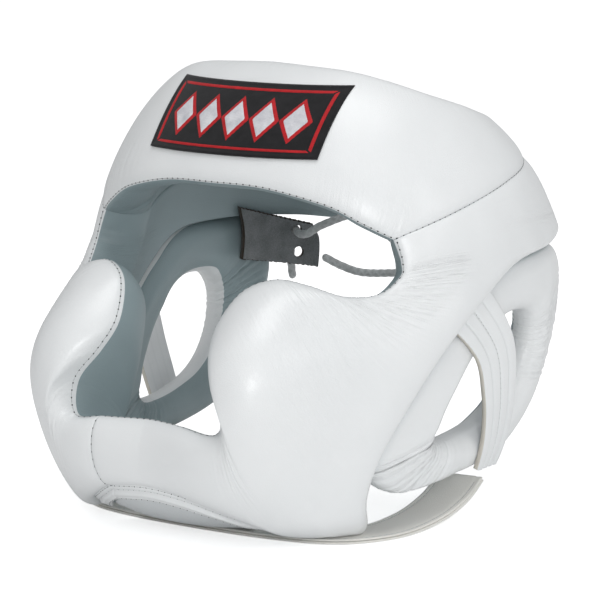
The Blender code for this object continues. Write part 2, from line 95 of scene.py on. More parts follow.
def curve_value(before, start, end, after, share):
    """A smooth curve from start to end, given the values beyond both."""
    return 0.5 * (
        2.0 * start
        + (end - before) * share
        + (2.0 * before - 5.0 * start + 4.0 * end - after) * share**2
        + (3.0 * start - before - 3.0 * end + after) * share**3
    )


def smooth_column(rows, column, place):
    """One column of a table at places counted in rows, on a smooth curve through the rows."""
    table = np.array([row[column] for row in rows], float)
    last = len(rows) - 1
    place = np.clip(np.asarray(place, float), 0.0, last)
    row = np.minimum(place.astype(int), last - 1)
    before, start, end, after = (table[np.clip(row + step, 0, last)] for step in (-1, 0, 1, 2))
    share = place - row
    return curve_value(before, start, end, after, share)


def run_of(points):
    """The length of a line up to each of its points."""
    return np.concatenate([[0.0], np.cumsum(np.linalg.norm(np.diff(points, axis=0), axis=1))])


def grid_mesh(along_steps, across_steps, closed=False, walled=True):
    """A grid with its shares kept in layers, doubled inwards where it needs a wall."""
    bm = bmesh.new()
    along = bm.verts.layers.float.new("along")
    across = bm.verts.layers.float.new("across")
    inner = bm.verts.layers.float.new("inner")
    bmesh.ops.create_grid(bm, x_segments=along_steps, y_segments=across_steps, size=0.5)
    for vertex in bm.verts:
        vertex[along] = vertex.co.x + 0.5
        vertex[across] = vertex.co.y + 0.5
        if closed:
            angle = 2.0 * math.pi * vertex[along]
            vertex.co = (math.cos(angle), math.sin(angle), vertex[across])
    if closed:
        bmesh.ops.remove_doubles(bm, verts=bm.verts, dist=1e-5)
    if walled:
        made = bmesh.ops.extrude_face_region(bm, geom=bm.faces[:], use_keep_orig=True)
        for item in made["geom"]:
            if isinstance(item, bmesh.types.BMVert):
                item[inner] = 1.0
    return bm


def place_grid(bm, place):
    """Moves a grid's vertices to place(along, across, inner) and keeps the layers it returns."""
    names = ("along", "across", "inner")
    shares = [
        np.array([vertex[bm.verts.layers.float[name]] for vertex in bm.verts]) for name in names
    ]
    points, kept = place(*shares)
    for vertex, point in zip(bm.verts, points):
        vertex.co = point
    for name, values in kept.items():
        layer = bm.verts.layers.float.new(name)
        for vertex, value in zip(bm.verts, values):
            vertex[layer] = value


def add_piece(name, bm, materials, replaced=()):
    """The finished mesh as a piece that rides on the headgear."""
    bmesh.ops.recalc_face_normals(bm, faces=bm.faces)
    mesh = bpy.data.meshes.new(name)
    bm.to_mesh(mesh)
    bm.free()
    for material in materials:
        mesh.materials.append(material)
    mesh.shade_smooth()
    piece = new_object(name, mesh)
    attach(piece, "root")
    if replaced:
        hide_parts(*replaced)
    return piece


def new_material(name):
    """An empty node material with its shader and output."""
    material = bpy.data.materials.new(name)
    material.use_nodes = True
    return material, material.node_tree, material.node_tree.nodes["Principled BSDF"]


def new_group(name, inputs, outputs):
    """A shader node group with named sockets: (name, type, default) in and (name, type) out."""
    group = bpy.data.node_groups.new(name, "ShaderNodeTree")
    for label, kind, default in inputs:
        socket = group.interface.new_socket(label, in_out="INPUT", socket_type=kind)
        if default is not None:
            socket.default_value = default
    for label, kind in outputs:
        group.interface.new_socket(label, in_out="OUTPUT", socket_type=kind)
    return group, group.nodes.new("NodeGroupInput"), group.nodes.new("NodeGroupOutput")


def set_inputs(tree, node, values):
    """Gives inputs their values, or links them where the value is another node's output."""
    for key, value in values.items():
        if isinstance(value, bpy.types.NodeSocket):
            tree.links.new(value, node.inputs[key])
        else:
            node.inputs[key].default_value = value


def add_node(tree, kind, settings=None, **values):
    """A node with its settings and inputs."""
    node = tree.nodes.new(kind)
    for key, value in (settings or {}).items():
        setattr(node, key, value)
    set_inputs(tree, node, values)
    return node


def add_math(tree, operation, *values, clamp=False):
    """The value of a Math node."""
    node = add_node(tree, "ShaderNodeMath", {"operation": operation, "use_clamp": clamp})
    set_inputs(tree, node, dict(enumerate(values)))
    return node.outputs[0]


def map_range(tree, value, *ends):
    """A value carried from one range to another, each given by its low and high end."""
    node = add_node(tree, "ShaderNodeMapRange")
    set_inputs(tree, node, dict(enumerate((value, *ends))))
    return node.outputs[0]


def add_attribute(tree, name):
    return add_node(tree, "ShaderNodeAttribute", {"attribute_name": name}).outputs["Fac"]


def mix_colours(tree, share, first, second):
    """A colour between two others."""
    node = add_node(tree, "ShaderNodeMix", {"data_type": "RGBA"})
    set_inputs(tree, node, {0: share, 6: (*first, 1.0), 7: (*second, 1.0)})
    return node.outputs[2]


def add_bump(tree, height, distance, **below):
    """A bumped normal, laid over the one that is given as Normal."""
    bump = add_node(tree, "ShaderNodeBump", Height=height, Distance=distance, **below)
    return bump.outputs["Normal"]


# fibres: the fuzz of spun or brushed fibre, shared by lace, thread, cloth and suede
fibres, fibres_in, fibres_out = new_group(
    "fibres",
    [("Vector", "NodeSocketVector", None), ("Scale", "NodeSocketFloat", 1500.0)],
    [("Height", "NodeSocketFloat"), ("Shade", "NodeSocketFloat")],
)
fine_fuzz = add_node(fibres, "ShaderNodeTexNoise", Vector=fibres_in.outputs["Vector"],
                     Scale=fibres_in.outputs["Scale"], Detail=4.0, Roughness=0.65)
soft_scale = add_math(fibres, "MULTIPLY", fibres_in.outputs["Scale"], 0.08)
soft_tone = add_node(fibres, "ShaderNodeTexNoise", Vector=fibres_in.outputs["Vector"],
                     Scale=soft_scale, Detail=3.0)
fibres.links.new(fine_fuzz.outputs["Fac"], fibres_out.inputs["Height"])
fibres.links.new(
    add_math(fibres, "ADD", add_math(fibres, "MULTIPLY", fine_fuzz.outputs["Fac"], 0.5),
             add_math(fibres, "MULTIPLY", soft_tone.outputs["Fac"], 0.5)),
    fibres_out.inputs["Shade"],
)


def fibre_material(name, colour, shade, scale, roughness, bump, sheen=0.0, attribute=None):
    """Cotton, thread or suede: two tones of fibre, with painted shade (darker) where an attribute
    is low, as between strands.
    """
    material, tree, shader = new_material(name)
    place = add_node(tree, "ShaderNodeTexCoord").outputs["Object"]
    fuzz = add_node(tree, "ShaderNodeGroup", {"node_tree": fibres}, Vector=place, Scale=scale)
    tone = map_range(tree, fuzz.outputs["Shade"], 0.35, 0.65)
    # painted shade: the colour darkens in the gaps between braid strands and satin threads
    if attribute:
        tone = add_math(tree, "MULTIPLY", tone, add_attribute(tree, attribute))
    set_inputs(tree, shader, {
        "Base Color": mix_colours(tree, tone, shade, colour),
        "Normal": add_bump(tree, fuzz.outputs["Height"], bump), "Roughness": roughness,
        "Specular IOR Level": 0.25, "Sheen Weight": sheen, "Sheen Roughness": 0.5,
    })
    return material


# the lace is darkened between its braid strands: painted shade
lace_cotton = fibre_material("lace_cotton", (0.74, 0.75, 0.75), (0.50, 0.51, 0.51),
                             2600.0, 0.85, 0.00012, sheen=0.2, attribute="strand")

lace_rows = np.linspace(0.0, len(LACE_ROUTE) - 1.0, LACE_STEPS + 1)
lace_path = np.stack([smooth_column(LACE_ROUTE, axis, lace_rows) for axis in range(3)], 1)
lace_path[:, 1] += LACE_SHIFT
lace_run = run_of(lace_path)
lace_way = np.gradient(lace_path, axis=0)
lace_way /= np.linalg.norm(lace_way, axis=1)[:, None]
lace_side = np.zeros_like(lace_path)
side = np.array((0.0, 0.0, 1.0))
for step, way in enumerate(lace_way):
    side = side - way * (side @ way)
    side /= np.linalg.norm(side)
    lace_side[step] = side
lace_over = np.cross(lace_way, lace_side)


def lace_point(along, across, inner):
    """A point of the braid's skin: strands cross each other round the cord."""
    step = np.rint(along * LACE_STEPS).astype(int)
    angle = 2.0 * np.pi * across
    turn = 2.0 * np.pi * lace_run[step] / BRAID_PITCH
    strand = np.maximum(np.cos(turn + 3.0 * angle), np.cos(turn - 3.0 * angle))
    from_end = np.minimum(lace_run[step], lace_run[-1] - lace_run[step])
    end = np.sqrt(1.0 - (1.0 - np.clip(from_end / (0.5 * LACE_DIAMETER), 0.0, 1.0)) ** 2)
    radius = LACE_DIAMETER / 2.0 * np.maximum(end, 0.05) - 0.00010 * (1.0 - strand)
    radius = np.maximum(radius, 0.0001)
    points = lace_path[step] + radius[:, None] * (
        np.cos(angle)[:, None] * lace_side[step] + np.sin(angle)[:, None] * lace_over[step]
    )
    # strand is low between the braid's strands, where the colour is darkened as painted shade
    return points, {"strand": np.clip(0.35 + 0.65 * strand, 0.0, 1.0)}


lace_bm = grid_mesh(LACE_STEPS, LACE_SIDES, walled=False)
place_grid(lace_bm, lace_point)
bmesh.ops.remove_doubles(lace_bm, verts=lace_bm.verts, dist=1e-6)
bmesh.ops.holes_fill(lace_bm, edges=[edge for edge in lace_bm.edges if edge.is_boundary])
lace = add_piece("back_lace_braid", lace_bm, [lace_cotton], ["back_lace"])


# Side shells: cheek, jaw and temple of each side cut as one panel of glossy white cowhide,
# stuffed over dense foam, lined inside with pale grey-green leather and sewn along its edges.
# The lining is coloured much darker than that leather, with the shade inside the headgear painted
# in.
HEIGHT = 0.2180
HALF_WIDTH = 0.1150
FRONT_REACH = 0.1350
REAR_REACH = 0.1420
SQUARENESS = 2.15
SHELL_THICKNESS = 0.0250
SHELL_EDGE_ROLL = 0.0170
SHELL_EDGE_DEPTH = 0.0050
CHEEK_SWELL = 0.0240
EDGE_FLAT = 0.0006
SEAM_DIP = 0.0014
SEAM_GAP = 0.00012
CHIN_SEAM_OFFSET = 0.0250
CHIN_SEAM_HEIGHT = 0.098
REST_HEIGHT = 0.0029
SHELL_SPAN = HEIGHT - REST_HEIGHT
SHELL_SHIFT = 0.00445
STITCH_PITCH = 0.0034
SEAM_SHADE_WIDTH = 0.0040
SHELL_GATHER_DEPTH = 0.00070
SHELL_GATHER_SPACING = 0.0034
SHELL_RIPPLE_DEPTH = 0.00045
SHELL_RIPPLE_SIZE = 0.055

# height, half width, front and rear of the skin's sections, as shares
SECTIONS = (
    (-0.010, 0.755, 0.790, 0.620), (0.055, 0.845, 0.925, 0.750), (0.170, 0.915, 0.985, 0.900),
    (0.335, 0.958, 0.925, 1.020), (0.512, 0.958, 0.790, 1.040), (0.657, 0.920, 0.660, 0.900),
    (0.777, 0.830, 0.555, 0.735), (0.869, 0.715, 0.450, 0.550), (0.938, 0.585, 0.340, 0.390),
    (0.979, 0.440, 0.235, 0.250), (1.000, 0.240, 0.110, 0.120),
)
# a rib's end at the face opening (across, height), at the outer rim (degrees, height), its lift
CHIN_RIBS = ((0.000, 0.268, 0.0, 0.112, 0.000), (0.160, 0.262, 13.0, 0.094, 0.000))
SIDE_RIBS = (
    (0.330, 0.250, 27.0, 0.045, 0.000), (0.335, 0.315, 38.0, 0.000, 0.000),
    (0.265, 0.385, 50.0, -0.008, 0.000), (0.235, 0.455, 60.0, -0.006, 0.000),
    (0.290, 0.532, 58.5, 0.085, 0.000), (0.400, 0.562, 59.5, 0.180, 0.000),
    (0.520, 0.552, 64.0, 0.295, 0.000), (0.650, 0.528, 70.0, 0.395, 0.000),
    (0.745, 0.530, 79.0, 0.485, 0.000), (0.790, 0.562, 92.0, 0.552, 0.006),
    (0.785, 0.590, 112.0, 0.565, 0.014), (0.770, 0.613, 140.0, 0.585, 0.022),
    (0.758, 0.628, 163.0, 0.605, 0.028), (0.748, 0.640, 163.0, 0.750, 0.036),
)


def between(start, end, share):
    return start + (end - start) * share


def section_at(level):
    """Height, half width, middle and half depth of the skin at a level counted in sections."""
    height = REST_HEIGHT + SHELL_SPAN * smooth_column(SECTIONS, 0, level)
    half_width = HALF_WIDTH * smooth_column(SECTIONS, 1, level)
    front = -FRONT_REACH * smooth_column(SECTIONS, 2, level)
    rear = REAR_REACH * smooth_column(SECTIONS, 3, level)
    return height, half_width, (front + rear) / 2.0, (rear - front) / 2.0


fine_levels = np.linspace(0.0, len(SECTIONS) - 1.0, 4001)
fine_heights = smooth_column(SECTIONS, 0, fine_levels)


def level_of(height_share):
    return np.interp(height_share, fine_heights, fine_levels)


def skin_point(turn, level):
    """Points of the shell's outer skin: turn is in radians round from the front."""
    height, half_width, middle, half_depth = section_at(level)
    across, along = np.sin(turn), np.cos(turn)
    reach = (np.abs(across) ** SQUARENESS + np.abs(along) ** SQUARENESS) ** (-1.0 / SQUARENESS)
    across, along, height = np.broadcast_arrays(
        half_width * across * reach, middle - half_depth * along * reach + SHELL_SHIFT, height)
    return np.stack([across, along, height], -1)


def unit(vectors):
    return vectors / np.maximum(np.linalg.norm(vectors, axis=-1, keepdims=True), 1e-12)


def skin_normal(turn, level):
    step = 0.01
    round_way = skin_point(turn + step, level) - skin_point(turn - step, level)
    up_way = skin_point(turn, level + step) - skin_point(turn, level - step)
    return unit(np.cross(round_way, up_way))


def sunk_point(turn, level, depth):
    """Points this far in from the skin."""
    return skin_point(turn, level) - skin_normal(turn, level) * np.asarray(depth)[..., None]


def turn_across(across, level):
    """The turn at which the front of the skin is this far across."""
    share = np.minimum(np.abs(across) / section_at(level)[1], 0.999)
    along = (1.0 - share**SQUARENESS) ** (1.0 / SQUARENESS)
    return np.copysign(np.arctan2(share, along), across)


def cheek_swell(points):
    """How far the stuffed cheek stands proud of the skin."""
    across = (np.abs(points[..., 0]) - 0.41 * HALF_WIDTH) / (0.23 * HALF_WIDTH)
    up = (points[..., 2] - REST_HEIGHT - 0.350 * SHELL_SPAN) / (0.185 * SHELL_SPAN)
    facing = np.clip((SHELL_SHIFT - points[..., 1]) / (0.30 * FRONT_REACH), 0.0, 1.0)
    return CHEEK_SWELL * facing * np.exp(-(across**2) - up**2)


def roll(distance, width):
    """0 at a rolled edge, rising on a quarter circle to 1 at the full padding."""
    return np.sqrt(1.0 - (1.0 - np.clip(distance / width, 0.0, 1.0)) ** 2)


def crowded(share):
    """Moves a share towards the nearer end, so that rows crowd at the edges."""
    return 0.35 * share + 0.65 * (1.0 - np.cos(np.pi * share)) / 2.0


def shell_point(turn, level, fullness, inner, dip, raised):
    """Points of the shell's face: fullness 0 is its edge and 1 its whole thickness."""
    swell = cheek_swell(skin_point(turn, level))
    edge = SHELL_EDGE_DEPTH - 0.5 * swell
    front = between(edge - EDGE_FLAT / 2.0, dip - swell - raised, fullness)
    back = between(edge + EDGE_FLAT / 2.0, SHELL_THICKNESS - dip, fullness)
    return sunk_point(turn, level, np.where(inner > 0.5, back, front))


def hill(place, start, end, fade):
    """1 between two places, fading smoothly to 0 outside them."""
    share = np.clip(np.minimum((place - start) / fade, (end - place) / fade) + 1.0, 0.0, 1.0)
    return share * share * (3.0 - 2.0 * share)


def bell(distance, width):
    """1 at a line, falling smoothly to 0 on both sides of it."""
    return np.exp(-(distance / width) ** 2)


def puckers(run, spacing, seed):
    """Gathered leather: rounded ridges of uneven width with sharp valleys, from 0 to 1."""
    phase = np.pi * run / spacing
    wide = np.abs(np.sin(phase + 1.4 * np.sin(0.31 * phase + seed)))
    narrow = np.abs(np.sin(1.73 * phase + 1.9 * np.sin(0.19 * phase + 2.0 * seed)))
    return 0.6 * np.sqrt(wide) + 0.4 * np.sqrt(narrow)


def ripples(points, size, seed):
    """Slow uneven waves of stretched leather over foam, from -1 to 1."""
    x, y, z = (points[..., axis] * 2.0 * np.pi / size for axis in range(3))
    return (
        np.sin(x + 1.3 * np.sin(0.7 * y + seed) + 0.6 * seed)
        * np.sin(0.9 * z + np.sin(0.8 * x) + seed)
        + 0.6 * np.sin(1.9 * y + 1.1 * np.sin(1.1 * z + 2.0 * seed)) * np.sin(1.6 * x + seed)
    ) / 1.6


def painted_seam_shade(distance):
    """Painted shade: 1 at a sewn edge, falling to 0 a little way from it."""
    return np.clip(1.0 - distance / SEAM_SHADE_WIDTH, 0.0, 1.0)


def side_rib(rows, place, share):
    """Turn and level on a side shell: place counts ribs, share runs from opening to rim."""
    opening_level = level_of(smooth_column(rows, 1, place))
    opening_turn = turn_across(HALF_WIDTH * smooth_column(rows, 0, place), opening_level)
    rim_turn = np.radians(smooth_column(rows, 2, place))
    rim_level = level_of(smooth_column(rows, 3, place))
    lift = 4.0 * share * (1.0 - share) * smooth_column(rows, 4, place)
    level = between(opening_level, rim_level, share) + lift * (len(SECTIONS) - 1)
    return between(opening_turn, rim_turn, share), level


def chin_seam_rib(side):
    """The rib under the chin seam, which lies to the wearer's right of the middle."""
    turn = np.degrees(turn_across(side * CHIN_SEAM_OFFSET, level_of(CHIN_SEAM_HEIGHT)))
    return side * CHIN_SEAM_OFFSET / HALF_WIDTH, 0.258, float(turn), CHIN_SEAM_HEIGHT, 0.0


def shell_place(rows, mirror, first_side_rib):
    """The function that puts a side shell's grid in place."""
    last = len(rows) - 1
    marks = np.arange(last + 1.0)
    middles = skin_point(*side_rib(rows, marks, 0.5))
    steps = np.linalg.norm(np.diff(middles, axis=0), axis=1)
    lengths = run_of(middles)

    def place(along, across, inner):
        row = between(SEAM_GAP / 2.0 / steps[0], last - SEAM_GAP / 2.0 / steps[-1], along)
        share = crowded(across)
        start, end = (skin_point(*side_rib(rows, row, edge)) for edge in (0.0, 1.0))
        width = np.linalg.norm(end - start, axis=-1)
        edge_roll = np.minimum(SHELL_EDGE_ROLL, 0.5 * width)
        fullness = roll(share * width, edge_roll) * roll((1.0 - share) * width, edge_roll)
        run = np.interp(row, marks, lengths)
        seam = np.minimum(run, lengths[-1] - run)
        dip = SEAM_DIP * (1.0 - roll(seam, SHELL_EDGE_ROLL / 2.0))
        rib = row - first_side_rib
        reach = share * width
        # the leather gathers round the eye corner, over the temple band and at the cheek's foot
        corner = hill(rib, 5.5, 9.2, 1.3) * hill(reach, 0.006, 0.030, 0.012)
        band = hill(rib, 4.5, 8.0, 1.5) * bell(share - 0.42, 0.24)
        foot = hill(rib, 0.2, 1.2, 0.6) * bell(share - 0.15, 0.30)
        rear = hill(rib, 11.2, 12.8, 0.7) * bell(1.0 - share, 0.5)
        mask = np.clip(corner + 0.8 * band + foot + 0.6 * rear, 0.0, 1.0)
        bend = 0.004 * np.sin(reach / 0.013 + rib)
        ridge = puckers(run + bend * 0.4, SHELL_GATHER_SPACING, 1.0 + mirror) - 1.0
        turn, level = side_rib(rows, row, share)
        skin = skin_point(turn, level)
        raised = SHELL_GATHER_DEPTH * ridge * mask
        raised += SHELL_RIPPLE_DEPTH * ripples(skin, SHELL_RIPPLE_SIZE, 0.7 * mirror)
        raised = np.where(inner > 0.5, 0.0, raised)
        points = shell_point(turn, level, fullness, inner, dip, raised)
        points[..., 0] *= mirror
        return points, {
            "run": run, "reach": reach, "pucker": mask,
            "edge": painted_seam_shade(np.minimum(reach, np.minimum(width - reach, seam))),
        }

    return place


# leather_grain: the pebbled face of tanned cowhide, with slow changes of tone and gloss
leather_grain, grain_in, grain_out = new_group(
    "leather_grain",
    [("Vector", "NodeSocketVector", None), ("Scale", "NodeSocketFloat", 1100.0)],
    [("Grain", "NodeSocketFloat"), ("Creases", "NodeSocketFloat"), ("Tone", "NodeSocketFloat")],
)
pebbles = add_node(leather_grain, "ShaderNodeTexVoronoi", {"feature": "DISTANCE_TO_EDGE"},
                   Vector=grain_in.outputs["Vector"], Scale=grain_in.outputs["Scale"])
pore_scale = add_math(leather_grain, "MULTIPLY", grain_in.outputs["Scale"], 2.0)
pores = add_node(leather_grain, "ShaderNodeTexNoise", Vector=grain_in.outputs["Vector"],
                 Scale=pore_scale, Detail=3.0)
fine_lines = add_node(leather_grain, "ShaderNodeTexNoise", {"noise_type": "RIDGED_MULTIFRACTAL"},
                      Vector=grain_in.outputs["Vector"], Scale=90.0, Detail=4.0, Roughness=0.55,
                      Distortion=0.6)
slow_tone = add_node(leather_grain, "ShaderNodeTexNoise", Vector=grain_in.outputs["Vector"],
                     Scale=22.0, Detail=3.0)
pebble_height = add_math(leather_grain, "MINIMUM",
                         add_math(leather_grain, "MULTIPLY", pebbles.outputs["Distance"], 5.0), 1.0)
leather_grain.links.new(
    add_math(leather_grain, "ADD", add_math(leather_grain, "MULTIPLY", pebble_height, 0.6),
             add_math(leather_grain, "MULTIPLY", pores.outputs["Fac"], 0.4)),
    grain_out.inputs["Grain"])
leather_grain.links.new(fine_lines.outputs["Fac"], grain_out.inputs["Creases"])
leather_grain.links.new(slow_tone.outputs["Fac"], grain_out.inputs["Tone"])

# seam_gathers: fine parallel wrinkles that run away from a seam, only where the leather is drawn in
seam_gathers, gathers_in, gathers_out = new_group(
    "seam_gathers",
    [(label, "NodeSocketFloat", 0.0) for label in ("Run", "Reach", "Mask")],
    [("Height", "NodeSocketFloat")],
)
streak_place = add_node(
    seam_gathers, "ShaderNodeCombineXYZ",
    X=add_math(seam_gathers, "MULTIPLY", gathers_in.outputs["Run"], 620.0),
    Y=add_math(seam_gathers, "MULTIPLY", gathers_in.outputs["Reach"], 45.0))
streaks = add_node(seam_gathers, "ShaderNodeTexNoise", Vector=streak_place.outputs[0], Scale=1.0,
                   Detail=2.0, Distortion=0.35)
seam_gathers.links.new(
    add_math(seam_gathers, "MULTIPLY", streaks.outputs["Fac"], gathers_in.outputs["Mask"]),
    gathers_out.inputs["Height"])


def leather_material(
    name, colour, shade, roughness, coat, grain=0.00006, gathers=0.00052, scale=1100.0
):
    """Tanned leather: grain, creases, wrinkles at the seams, painted shade along sewn edges and
    grooves, and a dressed, glossy face.
    """
    material, tree, shader = new_material(name)
    place = add_node(tree, "ShaderNodeTexCoord").outputs["Object"]
    face = add_node(tree, "ShaderNodeGroup", {"node_tree": leather_grain}, Vector=place,
                    Scale=scale)
    pulled = add_node(tree, "ShaderNodeGroup", {"node_tree": seam_gathers},
                      Run=add_attribute(tree, "run"), Reach=add_attribute(tree, "reach"),
                      Mask=add_attribute(tree, "pucker"))
    tone = map_range(tree, face.outputs["Tone"], 0.3, 0.7, 0.0, 0.35)
    # painted shade: darker along the sewn and rolled edges and in the grooves, where the edge mask
    # is high; the slow tone is the leather's own
    seam_shade = add_math(tree, "MULTIPLY", add_attribute(tree, "edge"), 0.30)
    tone_and_seam_shade = add_math(tree, "ADD", tone, seam_shade, clamp=True)
    gloss = map_range(tree, face.outputs["Creases"], 0.2, 1.0, roughness - 0.05, roughness + 0.08)
    normal = add_bump(tree, face.outputs["Grain"], grain)
    normal = add_bump(tree, face.outputs["Creases"], 0.00010, Normal=normal)
    normal = add_bump(tree, pulled.outputs["Height"], gathers, Normal=normal)
    set_inputs(tree, shader, {
        "Base Color": mix_colours(tree, tone_and_seam_shade, colour, shade), "Normal": normal,
        "Roughness": gloss, "Coat Weight": coat, "Coat Roughness": 0.27,
    })
    return material


white_leather = leather_material("white_leather", (0.83, 0.845, 0.85), (0.72, 0.74, 0.75),
                                 0.40, 0.45)
# the pale grey-green lining, coloured much darker: painted shade for the inside of the headgear
shade_darkened_lining = leather_material("shade_darkened_lining", (0.30, 0.375, 0.395), (0.225, 0.285, 0.30),
                                  0.50, 0.08, scale=900.0)
thread_white = fibre_material("thread_white", (0.62, 0.64, 0.64), (0.42, 0.44, 0.44),
                              5200.0, 0.7, 0.00005, sheen=0.1)
# near-black discs at the needle holes: painted shade inside each hole
needle_hole_shade = fibre_material("needle_hole_shade", (0.035, 0.042, 0.045), (0.015, 0.018, 0.02),
                             4000.0, 0.95, 0.00003)


def face_materials(bm, outer, lining, wall):
    """Gives a doubled grid its materials: outer face, inner face and the edge between."""
    inner = bm.verts.layers.float["inner"]
    for face in bm.faces:
        marks = [vertex[inner] for vertex in face.verts]
        face.material_index = outer if max(marks) < 0.5 else lining if min(marks) > 0.5 else wall


def add_panel(name, steps, place, materials, replaced, faces=(0, 0, 0)):
    """A walled grid put in place, with a material for its outer face, lining and edge."""
    bm = grid_mesh(*steps)
    place_grid(bm, place)
    face_materials(bm, *faces)
    return add_piece(name, bm, materials, replaced)


HOLE_RADII = (0.00052, 0.00038, 0.00016)
THREAD_RADII = (0.00026, 0.00022)
THREAD_SINK = 0.00008


def sew(name, place, along, across, pitch=STITCH_PITCH, size=1.0, lift=0.0):
    """Lockstitches along a line: a dark disc of painted shade at each needle hole, one each pitch,
    and a thread lying between two.
    """
    points, normals = seam_line(place, along, across, lift)
    run = run_of(points)
    count = max(int(run[-1] / pitch), 1)
    marks = (np.arange(count) + 0.5) * run[-1] / count

    def at(mark):
        point, normal = (
            Vector([float(np.interp(mark, run, values[:, axis])) for axis in range(3)])
            for values in (points, normals))
        return point, normal.normalized()

    bm = bmesh.new()
    for number, mark in enumerate(marks):
        point, normal = at(mark)
        way = (at(min(mark + 0.0005, run[-1]))[0] - at(max(mark - 0.0005, 0.0))[0]).normalized()
        side = normal.cross(way).normalized()
        lean = 0.10 if number % 2 else -0.10
        turned = Matrix((way + side * lean, side - way * lean, normal)).transposed().to_4x4()
        # each hole is a flattened dark disc of painted shade
        flattened = Matrix.Diagonal((*(radius * size for radius in HOLE_RADII), 1.0))
        hole = Matrix.Translation(point) @ turned @ flattened
        made = bmesh.ops.create_icosphere(bm, subdivisions=1, radius=1.0, matrix=hole)
        for face in {face for vertex in made["verts"] for face in vertex.link_faces}:
            face.material_index = 1
        if number + 1 < count:
            ahead, ahead_normal = at((mark + marks[number + 1]) / 2.0)
            way = (at(marks[number + 1])[0] - point).normalized()
            side = ahead_normal.cross(way).normalized()
            turned = Matrix((way, side, way.cross(side))).transposed().to_4x4()
            half_thickness = (radius * size for radius in THREAD_RADII)
            stretched = Matrix.Diagonal((0.40 * pitch, *half_thickness, 1.0))
            thread = Matrix.Translation(ahead - ahead_normal * THREAD_SINK) @ turned @ stretched
            bmesh.ops.create_uvsphere(bm, u_segments=6, v_segments=6, radius=1.0,
                                      matrix=thread @ Matrix.Rotation(math.radians(90.0), 4, "Y"))
    return add_piece(name, bm, [thread_white, needle_hole_shade])


def seam_line(place, along, across, lift):
    """Points and outward directions of a line on a piece's outer face."""
    along, across = np.broadcast_arrays(np.asarray(along, float), np.asarray(across, float))
    inner, step = np.zeros_like(along), 0.002
    low, high = np.clip(along - step, 0.0, 1.0), np.clip(along + step, 0.0, 1.0)
    under, over = np.clip(across - 4.0 * step, 0.0, 1.0), np.clip(across + 4.0 * step, 0.0, 1.0)
    normal = unit(np.cross(place(high, across, inner)[0] - place(low, across, inner)[0],
                           place(along, over, inner)[0] - place(along, under, inner)[0]))
    points = place(along, across, inner)[0]
    outward = points - np.array((0.0, 0.02, 0.10))
    normal *= np.sign(np.sum(normal * outward, axis=-1, keepdims=True))
    return points + normal * lift, normal


left_rows = (chin_seam_rib(-1.0),) + CHIN_RIBS + SIDE_RIBS
right_rows = (chin_seam_rib(1.0),) + SIDE_RIBS
shell_places = {
    "left": shell_place(left_rows, 1.0, 3.0),
    "right": shell_place(right_rows, -1.0, 1.0),
}
for side, place in shell_places.items():
    shell = add_panel("side_shell_leather_" + side, (430, 60), place,
                      [white_leather, shade_darkened_lining], ["side_shell_" + side],
                      faces=(0, 1, 1))
    sew("opening_stitches_" + side, place, np.linspace(0.004, 0.996, 400), 0.010)


# Forehead pad: one broad panel of the same white leather over the brow, carried round above
# the temples to the back and gathered at the crown, with the lining turned up inside it.
BROW_RIBS = (
    (0.000, 0.750, 0.0, 0.993), (0.240, 0.746, 22.0, 0.991), (0.500, 0.714, 42.0, 0.986),
    (0.650, 0.672, 58.0, 0.976), (0.748, 0.640, 70.0, 0.962),
)
CROWN_RIM = ((70.0, 0.962), (92.0, 0.925), (125.0, 0.872), (163.0, 0.845))
BROW_STEPS = 8
REAR_STEPS = 12
BROW_GATHER_DEPTH = 0.0006
BROW_GATHER_SPACING = 0.0050
BROW_RIPPLE_DEPTH = 0.0005
BROW_RIPPLE_SIZE = 0.075


def forehead_edges(step):
    """Lower edge and crown rim of the forehead pad, step columns from the brow's middle."""
    brow_row = np.minimum(step, BROW_STEPS) / BROW_STEPS * (len(BROW_RIBS) - 1)
    brow_level = level_of(smooth_column(BROW_RIBS, 1, brow_row))
    brow_turn = turn_across(HALF_WIDTH * smooth_column(BROW_RIBS, 0, brow_row), brow_level)
    share = crowded(np.clip((step - BROW_STEPS) / REAR_STEPS, 0.0, 1.0))
    seam_turn, seam_level = side_rib(SIDE_RIBS, len(SIDE_RIBS) - 1.0, share)
    crown_row = share * (len(CROWN_RIM) - 1)
    on_brow = step <= BROW_STEPS
    rim_turn, rim_height = (
        np.where(on_brow, smooth_column(BROW_RIBS, column + 2, brow_row),
                 smooth_column(CROWN_RIM, column, crown_row))
        for column in (0, 1)
    )
    return (np.where(on_brow, brow_turn, seam_turn), np.where(on_brow, brow_level, seam_level),
            np.radians(rim_turn), level_of(rim_height))


half_steps = BROW_STEPS + REAR_STEPS
eye_corner = skin_point(*(float(x) for x in forehead_edges(np.float64(BROW_STEPS))[:2]))
rear_corner = skin_point(*(float(x) for x in forehead_edges(np.float64(half_steps))[:2]))


